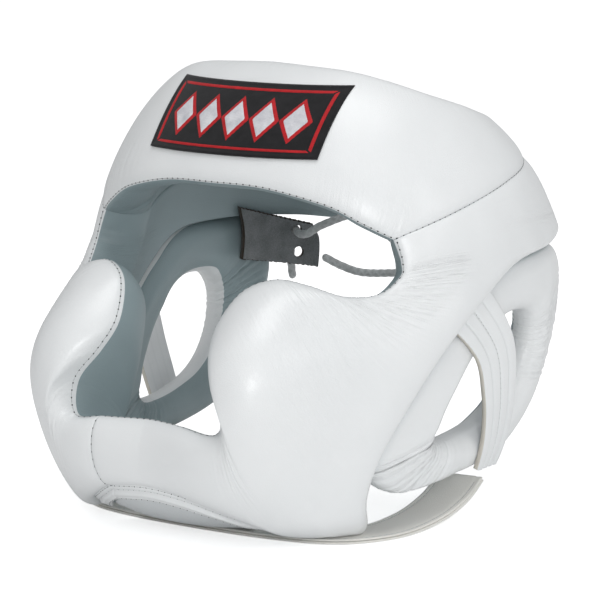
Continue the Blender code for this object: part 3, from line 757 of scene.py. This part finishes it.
def forehead_place(along, across, inner):
    side = 2.0 * along - 1.0
    step = np.abs(side) * half_steps
    lower_turn, lower_level, rim_turn, rim_level = forehead_edges(step)
    lower = skin_point(lower_turn, lower_level)
    width = np.linalg.norm(skin_point(rim_turn, rim_level) - lower, axis=-1)
    share = between(SEAM_GAP / 2.0 / width, 1.0, crowded(across))
    turn, level = between(lower_turn, rim_turn, share), between(lower_level, rim_level, share)
    skin = skin_point(turn, level)
    past = step > BROW_STEPS
    opening = np.where(past, np.linalg.norm(skin - eye_corner, axis=-1), share * width)
    rear = np.where(past, np.linalg.norm(lower - rear_corner, axis=-1), 1.0)
    fullness = (roll((1.0 - share) * width, 0.7 * SHELL_EDGE_ROLL) * roll(opening, SHELL_EDGE_ROLL)
                * roll(rear, SHELL_EDGE_ROLL))
    dip = np.where(past, SEAM_DIP * (1.0 - roll(share * width, SHELL_EDGE_ROLL / 2.0)), 0.0)
    run = step / half_steps * 0.26 * np.sign(side)
    reach = share * width
    # short gathers along the brow's edge, strongest above the far eye corner, and at the crown
    brow = hill(step, 4.5, 8.5, 2.0) * bell(reach, 0.016)
    brow *= np.where(side < 0.0, 1.0, 0.45)
    crown = 0.5 * bell((1.0 - share) * width - 0.004, 0.012)
    mask = np.clip(brow + crown, 0.0, 1.0)
    raised = BROW_GATHER_DEPTH * (puckers(run, BROW_GATHER_SPACING, 2.3) - 1.0) * mask
    raised += BROW_RIPPLE_DEPTH * ripples(skin, BROW_RIPPLE_SIZE, 1.9)
    raised = np.where(inner > 0.5, 0.0, raised)
    points = shell_point(turn, level, fullness, inner, dip, raised)
    points[..., 0] = np.copysign(points[..., 0], side)
    edge = painted_seam_shade(np.minimum(reach, width - reach))
    return points, {"run": run, "reach": reach, "pucker": mask, "edge": edge}


forehead = add_panel("forehead_leather", (400, 72), forehead_place,
                     [white_leather, shade_darkened_lining], ["forehead_pad"],
                     faces=(0, 1, 1))

brow_share = BROW_STEPS / half_steps / 2.0
run = np.linspace(0.5 - brow_share, 0.5 + brow_share, 300)
sew("brow_stitches", forehead_place, run, 0.010)
for side, ends in (("left", (0.5 + brow_share, 0.985)), ("right", (0.5 - brow_share, 0.015))):
    sew("temple_seam_stitches_" + side, forehead_place, np.linspace(*ends, 260), 0.0, lift=0.0001)
sew("crown_rim_stitches", forehead_place, np.linspace(0.02, 0.98, 400), 0.95)
sew("chin_seam_stitches", shell_places["left"], 0.0, np.linspace(0.06, 0.97, 120), lift=0.0001)


# Ear pads: a stuffed leather ring round each ear, sewn in behind the shell's rim, bent and
# heavily wrinkled behind the ear and where it folds under the cheek.
EAR_PAD_THICKNESS = 0.0190
EAR_PAD_SINK = 0.0085
EAR_PAD_GAP = 0.0008
SEWN_EAR_RIBS = (
    (4.45, -0.185, 0.180), (5.20, -0.145, 0.240), (6.10, -0.080, 0.298), (7.00, -0.010, 0.345),
    (8.00, 0.085, 0.398), (9.00, 0.185, 0.424), (9.60, 0.285, 0.428), (10.20, 0.360, 0.415),
)
FREE_EAR_RIBS = (
    (0.665, 0.450, 0.398, 0.372), (0.630, 0.335, 0.388, 0.318), (0.540, 0.220, 0.345, 0.262),
    (0.430, 0.138, 0.275, 0.216), (0.290, 0.088, 0.185, 0.184), (0.100, 0.060, 0.070, 0.164),
    (-0.130, 0.048, -0.050, 0.154), (-0.350, 0.050, -0.145, 0.158),
)
EAR_FOLD_DEPTH = 0.0019
EAR_FOLD_SPACING = 0.0052
EAR_TUCK_DEPTH = 0.0018
EAR_TUCK_RIB = 15.15
EAR_RIPPLE_DEPTH = 0.0003
EAR_THINNEST = 0.0002
EAR_LINED_FROM = 0.16


def ring_column(rows, column, place):
    """The same as smooth_column for a table that runs once round and joins itself."""
    table = np.array([row[column] for row in rows], float)
    row = np.floor(place).astype(int)
    before, start, end, after = (table[(row + step) % len(rows)] for step in (-1, 0, 1, 2))
    share = place - row
    return curve_value(before, start, end, after, share)


def side_spot(along_share, height_share):
    """Turn and level of a point of the side of the skin."""
    level = level_of(height_share)
    _, _, middle, half_depth = section_at(level)
    share = (middle - REAR_REACH * np.asarray(along_share)) / half_depth
    across = (1.0 - np.minimum(np.abs(share), 0.999) ** SQUARENESS) ** (1.0 / SQUARENESS)
    return np.arctan2(across, share), level


def ear_depth(along):
    """How far the middle of an ear pad lies under the skin: less towards the back."""
    rear_share = np.clip(along / (0.45 * REAR_REACH), 0.0, 1.0)
    return EAR_PAD_SINK * (1.0 - 0.7 * rear_share) + EAR_PAD_THICKNESS / 2.0


ear_ribs = [
    tuple(float(x) for x in side_rib(SIDE_RIBS, rib, 1.0) + side_spot(along, height))
    for rib, along, height in SEWN_EAR_RIBS
] + [
    tuple(float(x) for x in side_spot(rim_along, rim_height) + side_spot(hole_along, hole_height))
    for rim_along, rim_height, hole_along, hole_height in FREE_EAR_RIBS
]


def ear_place(along, across, inner):
    row = (along % 1.0) * len(ear_ribs)
    sewn = row <= len(SEWN_EAR_RIBS) - 1
    sewn_turn, sewn_level = side_rib(SIDE_RIBS, smooth_column(SEWN_EAR_RIBS, 0, row), 1.0)
    rim = (np.where(sewn, sewn_turn, ring_column(ear_ribs, 0, row)),
           np.where(sewn, sewn_level, ring_column(ear_ribs, 1, row)))
    hole = (ring_column(ear_ribs, 2, row), ring_column(ear_ribs, 3, row))
    width = np.linalg.norm(skin_point(*rim) - skin_point(*hole), axis=-1)
    share = crowded(across) * (1.0 - EAR_PAD_GAP / width)
    edge_roll = np.minimum(0.5 * width, 0.6 * EAR_PAD_THICKNESS)
    fullness = roll(share * width, edge_roll) * roll((1.0 - share) * width, edge_roll)
    half = between(EDGE_FLAT, EAR_PAD_THICKNESS, fullness) / 2.0
    # deep radial folds at the bend behind the ear and at the fold under the cheek
    reach = share * width
    rear = hill(row, 7.9, 9.6, 0.9)
    front = np.maximum(hill(row, 14.4, 16.5, 0.7), hill(row, -0.5, 0.15, 0.5))
    swirl = 0.16 * np.sin(2.2 * share + 0.4) + 0.10 * share**2
    ring_run = (row + 1.3 * swirl) * 0.0195
    folds = puckers(ring_run, EAR_FOLD_SPACING, 0.9) - 1.0
    tuck = -bell(row - EAR_TUCK_RIB + 0.5 * share, 0.055)
    mask = np.clip(rear * bell(share - 0.25, 0.55) + front, 0.0, 1.0)
    soft = ripples(skin_point(*hole), 0.030, 0.4)
    raised = EAR_FOLD_DEPTH * folds * mask + EAR_TUCK_DEPTH * tuck * front + EAR_RIPPLE_DEPTH * soft
    half = half + np.where(fullness > 0.02, raised * np.sqrt(np.clip(fullness, 0.0, 1.0)), 0.0)
    half = np.maximum(half, EAR_THINNEST)
    turn, level = between(hole[0], rim[0], share), between(hole[1], rim[1], share)
    depth = ear_depth(skin_point(turn, level)[..., 1] - SHELL_SHIFT)
    points = sunk_point(turn, level, np.where(inner > 0.5, depth + half, depth - half))
    return points, {"run": ring_run, "reach": reach, "pucker": mask,
                    "edge": painted_seam_shade(width - reach)}


SIDES = (("left", 1.0), ("right", -1.0))


def mirrored(place, mirror):
    """The same piece on the wearer's left (1) or right (-1)."""
    def other(along, across, inner):
        points, kept = place(along, across, inner)
        return points * np.array((mirror, 1.0, 1.0)), kept
    return other


for side, mirror in SIDES:
    bm = grid_mesh(360, 48, closed=True)
    place_grid(bm, mirrored(ear_place, mirror))
    across, inner = bm.verts.layers.float["across"], bm.verts.layers.float["inner"]
    for face in bm.faces:
        inside = min(vertex[inner] for vertex in face.verts) > 0.5
        from_hole = min(vertex[across] for vertex in face.verts)
        face.material_index = 1 if inside and from_hole > EAR_LINED_FROM else 0
    ear_pad = add_piece("ear_pad_leather_" + side, bm, [white_leather, shade_darkened_lining],
                        ["ear_pad_" + side])


# Ear straps: a strap of folded leather layers sewn under the shell's rim and drawn down over
# the ear pad to its foot, with rows of stitching that close up towards the bottom.
EAR_STRAP_THICKNESS = 0.0025
EAR_STRAP_TOP_WIDTH = 0.0310
EAR_STRAP_BOTTOM_WIDTH = 0.0210
CLEARANCE = 0.0004
EAR_STRAP_LEAN = math.radians(38.0)
EAR_STRAP_ROUTE = ((-0.088, 0.476), (0.050, 0.370), (0.105, 0.260), (0.135, 0.160), (0.145, 0.078))
EAR_STRAP_SEAMS = (0.24, 0.50, 0.76)

cut_edge = leather_material("cut_edge", (0.74, 0.71, 0.64), (0.56, 0.51, 0.44), 0.75, 0.0,
                            grain=0.00012, gathers=0.0, scale=2200.0)


def ear_strap_place(along, across, inner):
    row = along * (len(EAR_STRAP_ROUTE) - 1)
    width = between(EAR_STRAP_TOP_WIDTH, EAR_STRAP_BOTTOM_WIDTH, along)
    # its top lies square to the rim it is sewn under, and it turns upright on its way down
    lean = EAR_STRAP_LEAN * np.clip(1.0 - along / 0.55, 0.0, 1.0) ** 1.3
    offset = (across - 0.5) * width
    turn, level = side_spot(
        smooth_column(EAR_STRAP_ROUTE, 0, row) + offset * np.cos(lean) / REAR_REACH,
        smooth_column(EAR_STRAP_ROUTE, 1, row) + offset * np.sin(lean) / SHELL_SPAN)
    depth = ear_depth(skin_point(turn, level)[..., 1] - SHELL_SHIFT)
    depth -= EAR_PAD_THICKNESS / 2.0 + CLEARANCE
    grooves = sum(bell((across - seam) * width, 0.0007) for seam in EAR_STRAP_SEAMS)
    crown = 0.0006 * np.sqrt(np.clip(1.0 - (2.0 * across - 1.0) ** 8, 0.0, 1.0))
    layers = 0.00035 * (across < EAR_STRAP_SEAMS[0]) + 0.0002 * (across > EAR_STRAP_SEAMS[2])
    top = EAR_STRAP_THICKNESS - 0.0006 + crown - 0.0006 * grooves + layers
    depth = np.where(inner > 0.5, depth, depth - top)
    # the edge mask paints shade along the stitch grooves
    return sunk_point(turn, level, depth), {
        "run": along * 0.085, "reach": across * width, "pucker": 0.25 * np.ones_like(along),
        "edge": np.clip(grooves, 0.0, 1.0)}


for side, mirror in SIDES:
    place = mirrored(ear_strap_place, mirror)
    add_panel("ear_strap_leather_" + side, (110, 60), place, [white_leather, cut_edge],
              ["ear_strap_" + side], faces=(0, 0, 1))
    for number, seam in enumerate(EAR_STRAP_SEAMS):
        sew(f"ear_strap_stitches_{side}_{number + 1}", place, np.linspace(0.03, 0.97, 120), seam,
            pitch=0.0026, size=0.7)


# Back tabs: two flaps of thick dark grey suede sewn inside the shell's back ends, cut raw so
# that their brown edges fray, each with two punched lace holes.
TAB_THICKNESS = 0.0030
TAB_GAP = 0.0009
EYELET_DIAMETER = 0.0056
EYELET_TURN = 131.0
EYELET_HEIGHTS = (0.455, 0.545)
TAB_TURNS = (112.0, 138.0)
TAB_BOTTOM = (0.450, 0.405)
TAB_TOP = (0.615, 0.575)

grey_suede = fibre_material("grey_suede", (0.230, 0.240, 0.245), (0.120, 0.128, 0.132),
                            1400.0, 0.95, 0.00030, sheen=0.35)
raw_edge = fibre_material("raw_edge", (0.085, 0.060, 0.042), (0.030, 0.022, 0.018),
                          2200.0, 1.0, 0.00040, sheen=0.2)


def tab_place(along, across, inner):
    turn = np.radians(between(*TAB_TURNS, along))
    ragged = 0.0022 * np.sin(37.0 * along + 3.0) * np.sin(143.0 * along + 2.0)
    rim = np.minimum(across, 1.0 - across)
    height = between(between(*TAB_BOTTOM, along), between(*TAB_TOP, along), across)
    level = level_of(height + ragged * (rim < 0.02))
    depth = SHELL_THICKNESS + TAB_GAP
    return sunk_point(turn, level, depth + TAB_THICKNESS * inner), {}


for side, mirror in SIDES:
    bm = grid_mesh(96, 72, walled=False)
    place_grid(bm, mirrored(tab_place, mirror))
    for height in EYELET_HEIGHTS:
        turn, level = np.radians(EYELET_TURN), level_of(height)
        centre = sunk_point(turn, level, SHELL_THICKNESS + TAB_GAP)
        centre = Vector((mirror * centre[0], centre[1], centre[2]))
        radius = EYELET_DIAMETER / 2.0
        near = {vertex for vertex in bm.verts if (vertex.co - centre).length < radius * 1.12}
        punched = [face for face in bm.faces if near.issuperset(face.verts)]
        bmesh.ops.delete(bm, geom=punched, context="FACES")
        for vertex in bm.verts:
            if vertex.is_boundary and (vertex.co - centre).length < radius * 1.6:
                vertex.co = centre + (vertex.co - centre).normalized() * radius
    made = bmesh.ops.extrude_face_region(bm, geom=bm.faces[:], use_keep_orig=True)
    inner, along = (bm.verts.layers.float[name] for name in ("inner", "along"))
    for vertex in made["geom"]:
        if isinstance(vertex, bmesh.types.BMVert):
            vertex[inner] = 1.0
            turn = np.radians(between(*TAB_TURNS, vertex[along]))
            normal = skin_normal(turn, level_of((vertex.co.z - REST_HEIGHT) / SHELL_SPAN))
            vertex.co -= Vector((mirror * normal[0], normal[1], normal[2])) * TAB_THICKNESS
    face_materials(bm, 0, 0, 1)
    add_piece("back_tab_suede_" + side, bm, [grey_suede, raw_edge],
              ["back_tab_" + side])


# Chin cup: the soft leather that closes the chin underneath, tucked in behind the binding.
CHIN_CUP_THICKNESS = 0.0090
CUP_HALF_TURN = math.radians(29.0)
BINDING_THICKNESS = 0.0022
CHIN_STRAP_THICKNESS = 0.0025


def chin_rim(turn):
    """Height of the shell's lower rim at the chin, at a turn from the front, as a share."""
    heights = []
    for rows, mirror, last_rib in ((left_rows, 1.0, 5.0), (right_rows, -1.0, 3.0)):
        rim_turn, rim_level = side_rib(rows, np.linspace(0.0, last_rib, 200), 1.0)
        order = np.argsort(rim_turn * mirror)
        rim_height = (section_at(rim_level)[0] - REST_HEIGHT) / SHELL_SPAN
        heights.append(np.interp(turn, (rim_turn * mirror)[order], rim_height[order]))
    seam_turn = -turn_across(CHIN_SEAM_OFFSET, level_of(CHIN_SEAM_HEIGHT))
    return np.where(turn < seam_turn, heights[1], heights[0])


def chin_cup_place(along, across, inner):
    turn = between(-CUP_HALF_TURN, CUP_HALF_TURN, along)
    top = np.maximum(chin_rim(turn) - 0.045, 0.012)
    tuck = SHELL_EDGE_DEPTH + BINDING_THICKNESS / 2.0 + CLEARANCE
    front = sunk_point(turn, level_of(top), tuck)
    inward = np.array((0.0, -0.35 * FRONT_REACH + SHELL_SHIFT, 0.0)) - front
    inward[..., 2] = 0.0
    inward = unit(inward)
    points = front + inward * (0.40 * FRONT_REACH * across)[..., None]
    points[..., 2] -= (front[..., 2] - REST_HEIGHT) * (1.0 - (1.0 - across) ** 4.0)
    edges = roll(across, 0.25) * roll(1.0 - across, 0.25)
    edges *= roll(along, 0.12) * roll(1.0 - along, 0.12)
    lift = np.array((0.0, 0.0, 1.0)) * across[..., None] + inward * (1.0 - across)[..., None]
    wrinkle = 0.0004 * (puckers(along * 0.075, 0.006, 0.5) - 1.0) * bell(across, 0.3)
    thickness = between(EDGE_FLAT, CHIN_CUP_THICKNESS, edges)
    points = points + lift * (thickness * inner - wrinkle * (1.0 - inner))[..., None]
    return points, {"run": along * 0.075, "reach": across * 0.054,
                    "pucker": 0.5 * bell(across, 0.2), "edge": np.zeros_like(along)}


pale_leather = leather_material("pale_leather", (0.72, 0.745, 0.755), (0.60, 0.63, 0.645),
                                0.48, 0.12)
chin_cup = add_panel("chin_cup_leather", (140, 56), chin_cup_place,
                     [pale_leather, shade_darkened_lining], ["chin_cup"], faces=(0, 1, 0))


# Chin binding: a folded leather strip that binds the chin's lower edge, with a stitched ridge
# along its middle and a butt joint in line with the chin seam.
BINDING_WIDTH = 0.0090
BINDING_TUCK = 0.0014
BINDING_TURNS = (math.radians(-32.0), math.radians(34.0))
BINDING_JOINT = -0.0235


def binding_place(along, across, inner):
    turn = between(*BINDING_TURNS, along)
    top = REST_HEIGHT + SHELL_SPAN * chin_rim(turn) + BINDING_TUCK
    width = np.minimum(BINDING_WIDTH + BINDING_TUCK, 0.8 * (top - CHIN_STRAP_THICKNESS))
    level = level_of((top - width * across - REST_HEIGHT) / SHELL_SPAN)
    depth = SHELL_EDGE_DEPTH - BINDING_THICKNESS / 2.0
    ridge = 0.0007 * bell(across - 0.66, 0.10)
    ridge -= 0.0006 * bell(across - 0.45, 0.05)
    from_joint = skin_point(turn, level)[..., 0] - BINDING_JOINT
    joint = -0.0006 * bell(from_joint, 0.0004)
    rounded = 0.0009 * (1.0 - roll(np.minimum(across, 1.0 - across), 0.22))
    raised = (ridge + joint - rounded) * np.clip(width / BINDING_WIDTH, 0.0, 1.0)
    depth = np.where(inner > 0.5, depth + BINDING_THICKNESS, depth - raised)
    # the edge mask paints shade along the binding's middle groove
    return sunk_point(turn, level, depth), {
        "run": along * 0.13, "reach": across * width, "pucker": np.full_like(along, 0.2),
        "edge": bell(across - 0.42, 0.06)}


add_panel("chin_binding_leather", (240, 24), binding_place, [white_leather],
          ["chin_binding"])
for name, across in (("upper", 0.22), ("middle", 0.45), ("lower", 0.93)):
    sew("chin_binding_stitches_" + name, binding_place, np.linspace(0.03, 0.94, 160), across,
        size=0.75)


# Chin strap: two layers of cream leather glued and sewn flat, under the chin and both jaws.
# The headgear stands on it.
CHIN_STRAP_WIDTH = 0.0250
CHIN_STRAP_SEAMS = (0.10, 0.90)
CHIN_STRAP_ROUTE = (
    (0.000, -0.560, 0.000), (0.280, -0.550, 0.000), (0.540, -0.500, 0.000), (0.665, -0.360, 0.000),
    (0.690, -0.150, 0.006), (0.680, 0.040, 0.026), (0.665, 0.170, 0.058),
)
cream_leather = leather_material("cream_leather", (0.86, 0.85, 0.81), (0.76, 0.74, 0.69),
                                 0.55, 0.05, gathers=0.0002)


def chin_strap_centre(side):
    row = np.abs(side) * (len(CHIN_STRAP_ROUTE) - 1)
    across, along, height = (smooth_column(CHIN_STRAP_ROUTE, axis, row) for axis in range(3))
    return np.stack([np.copysign(HALF_WIDTH * across, side), FRONT_REACH * along + SHELL_SHIFT,
                     SHELL_SPAN * np.maximum(height, 0.0)], -1)


def chin_strap_place(layer):
    """The strap's lower (0) or upper (1) layer."""
    def place(along, across, inner):
        side = 2.0 * along - 1.0
        way = chin_strap_centre(np.minimum(side + 0.02, 1.0))
        way -= chin_strap_centre(np.maximum(side - 0.02, -1.0))
        sideways = unit(np.stack([way[..., 1], -way[..., 0], 0.0 * along], -1))
        width = CHIN_STRAP_WIDTH - 0.0012 * layer
        points = chin_strap_centre(side) + sideways * ((across - 0.5) * width)[..., None]
        half = CHIN_STRAP_THICKNESS / 2.0
        rounded = 0.0003 * (1.0 - roll(np.minimum(across, 1.0 - across), 0.05))
        groove = 0.00035 * sum(
            bell((across - seam) * width, 0.0006) for seam in CHIN_STRAP_SEAMS)
        low = layer * (half + 0.00008) + rounded
        high = layer * half + half - 0.00005 - rounded - groove * layer
        points[..., 2] += np.where(inner > 0.5, low, high)
        return points, {"run": along * 0.30, "reach": across * width,
                        "pucker": np.full_like(along, 0.15), "edge": np.zeros_like(along)}
    return place


for name, layer, replaced in (("lower", 0.0, ["chin_strap"]), ("upper", 1.0, ())):
    add_panel("chin_strap_" + name, (220, 28), chin_strap_place(layer),
              [cream_leather, cream_leather], replaced, faces=(0, 0, 1))
for seam in CHIN_STRAP_SEAMS:
    sew(f"chin_strap_stitches_{int(seam * 100)}", chin_strap_place(1.0),
        np.linspace(0.02, 0.98, 200), seam, size=0.7)


# Brow label: a woven black cloth patch with a red border and a plain row of white lozenges,
# edged in red satin stitch, sewn flat on the forehead.
LABEL_WIDTH = 0.0920
LABEL_THICKNESS = 0.0012
LABEL_HEIGHTS = (0.800, 0.944)
LABEL_OFFSET = 0.03
LABEL_HEIGHT = 0.0450
LABEL_FACE = 0.6
SATIN_PITCH = 0.0006
LOZENGES = 5
LOZENGE_SPACING = 0.0152
LOZENGE_SIZE = (0.0062, 0.0118)

label_black = fibre_material("label_black", (0.016, 0.015, 0.017), (0.006, 0.006, 0.007),
                             2600.0, 0.85, 0.00010, sheen=0.15)
# the red and white satin threads are darkened in the gaps between them: painted shade
label_red = fibre_material("label_red", (0.60, 0.012, 0.018), (0.36, 0.006, 0.010),
                           3000.0, 0.65, 0.00010, sheen=0.1, attribute="thread")
label_white = fibre_material("label_white", (0.80, 0.80, 0.82), (0.48, 0.48, 0.52),
                             3000.0, 0.65, 0.00010, sheen=0.1, attribute="thread")


def label_spot(u, v, lift):
    """A point of the patch: u across and v up from its middle in metres, lift above its face."""
    level = level_of(between(*LABEL_HEIGHTS, 0.5 + v / LABEL_HEIGHT))
    turn = turn_across(HALF_WIDTH * LABEL_OFFSET + u, level)
    return sunk_point(turn, level, -CLEARANCE - LABEL_THICKNESS * LABEL_FACE - lift)


def patch_place(along, across, inner):
    u, v = (along - 0.5) * LABEL_WIDTH, (across - 0.5) * LABEL_HEIGHT
    rim = np.minimum(0.5 * LABEL_WIDTH - np.abs(u), 0.5 * LABEL_HEIGHT - np.abs(v))
    weave = 0.00006 * np.sin(2.0 * np.pi * u / 0.0011) * np.sin(2.0 * np.pi * v / 0.0011)
    hem = 0.00025 * bell(rim - 0.0012, 0.0009)
    hem -= 0.0003 * np.clip(1.0 - rim / 0.0008, 0.0, 1.0)
    underside = -LABEL_THICKNESS * LABEL_FACE - CLEARANCE * 0.5
    return label_spot(u, v, np.where(inner > 0.5, underside, weave + hem)), {}


add_panel("brow_label_cloth", (240, 120), patch_place, [label_black],
          ["brow_label"])


def satin_patch(bm, corners, height, material_index, steps):
    """A raised four-cornered satin-stitch shape on the patch, its threads across it."""
    part = bmesh.new()
    thread_layer = part.verts.layers.float.new("thread")
    bmesh.ops.create_grid(part, x_segments=steps[0], y_segments=steps[1], size=0.5)
    low_left, low_right, high_right, high_left = (np.array(corner) for corner in corners)
    for vertex in part.verts:
        s, t = vertex.co.x + 0.5, vertex.co.y + 0.5
        u, v = between(between(low_left, low_right, s), between(high_left, high_right, s), t)
        rim = min(s, 1.0 - s, t, 1.0 - t)
        ridge = abs(math.sin(math.pi * (u + 0.15 * v) / SATIN_PITCH))
        lift = 0.00022 * height * min(rim / 0.12, 1.0) + 0.00005 * ridge - 0.0001 * (rim < 0.01)
        # low between the satin threads, where the colour is darkened as painted shade
        vertex[thread_layer] = 0.45 + 0.55 * ridge
        vertex.co = Vector([float(x) for x in label_spot(u, v, lift)])
    for face in part.faces:
        face.material_index = material_index
    mesh = bpy.data.meshes.new("satin")
    part.to_mesh(mesh)
    part.free()
    bm.from_mesh(mesh)
    bpy.data.meshes.remove(mesh)


bm = bmesh.new()
outer_u, outer_v, band = 0.0425, 0.0190, 0.0017  # the red border's half sizes and its width
inner_u, inner_v = outer_u - band, outer_v - band
for low, high, inset_low, inset_high in (
    ((-outer_u, -outer_v), (outer_u, -outer_v), (-inner_u, -inner_v), (inner_u, -inner_v)),
    ((outer_u, outer_v), (-outer_u, outer_v), (inner_u, inner_v), (-inner_u, inner_v)),
    ((outer_u, -outer_v), (outer_u, outer_v), (inner_u, -inner_v), (inner_u, inner_v)),
    ((-outer_u, outer_v), (-outer_u, -outer_v), (-inner_u, inner_v), (-inner_u, -inner_v)),
):
    satin_patch(bm, (low, high, inset_high, inset_low), 1.0, 0, (150, 6))
for number in range(LOZENGES):
    centre = (number - LOZENGES // 2) * LOZENGE_SPACING
    for grow, height, colour in ((0.0017, 1.0, 0), (0.0, 2.2, 1)):
        across, up = LOZENGE_SIZE[0] + grow, LOZENGE_SIZE[1] + 1.5 * grow
        corners = (centre, -up), (centre + across, 0.0), (centre, up), (centre - across, 0.0)
        satin_patch(bm, corners, height, colour, (22, 22))
add_piece("brow_label_embroidery", bm, [label_red, label_white])


# Floor and light: a plain pale floor, a white room and three soft boxes, as in a studio.
FLOOR_GLOW = 0.60
ROOM_LIGHT = 0.50

floor_material, tree, shader = new_material("pale_floor")
floor_seen = add_node(tree, "ShaderNodeLightPath").outputs["Is Camera Ray"]
set_inputs(tree, shader, {
    "Base Color": (0.96, 0.96, 0.96, 1.0), "Roughness": 0.9, "Emission Color": (1.0, 1.0, 1.0, 1.0),
    "Emission Strength": add_math(tree, "MULTIPLY", floor_seen, FLOOR_GLOW),
})
bm = bmesh.new()
bmesh.ops.create_grid(bm, x_segments=1, y_segments=1, size=6.0)
floor_mesh = bpy.data.meshes.new("studio_floor")
bm.to_mesh(floor_mesh)
bm.free()
floor_mesh.materials.append(floor_material)
studio_floor = new_object("studio_floor", floor_mesh)

world = bpy.data.worlds.new("white_room")
world.use_nodes = True
# the room lights the leather softly, and looks white behind it
tree = world.node_tree
seen = add_node(tree, "ShaderNodeLightPath").outputs["Is Camera Ray"]
set_inputs(tree, tree.nodes["Background"], {
    "Color": (0.98, 0.99, 1.0, 1.0),
    "Strength": add_math(tree, "MULTIPLY_ADD", seen, 1.0 - ROOM_LIGHT, ROOM_LIGHT),
})
bpy.context.scene.world = world

for name, place, size, power in (
    ("front_box", (1.30, -1.35, 0.60), 0.55, 8.5),
    ("top_box", (0.3, -0.2, 1.8), 1.0, 9.0),
    ("side_box", (1.9, 0.3, 0.9), 0.8, 2.5),
):
    lamp = bpy.data.lights.new(name, "AREA")
    lamp.shape = "DISK"
    lamp.size = size
    lamp.energy = power
    light = new_object(name, lamp)
    light.location = place
    outward = Vector(place) - Vector((0.0, 0.0, 0.1))
    light.rotation_euler = outward.to_track_quat("Z", "Y").to_euler()
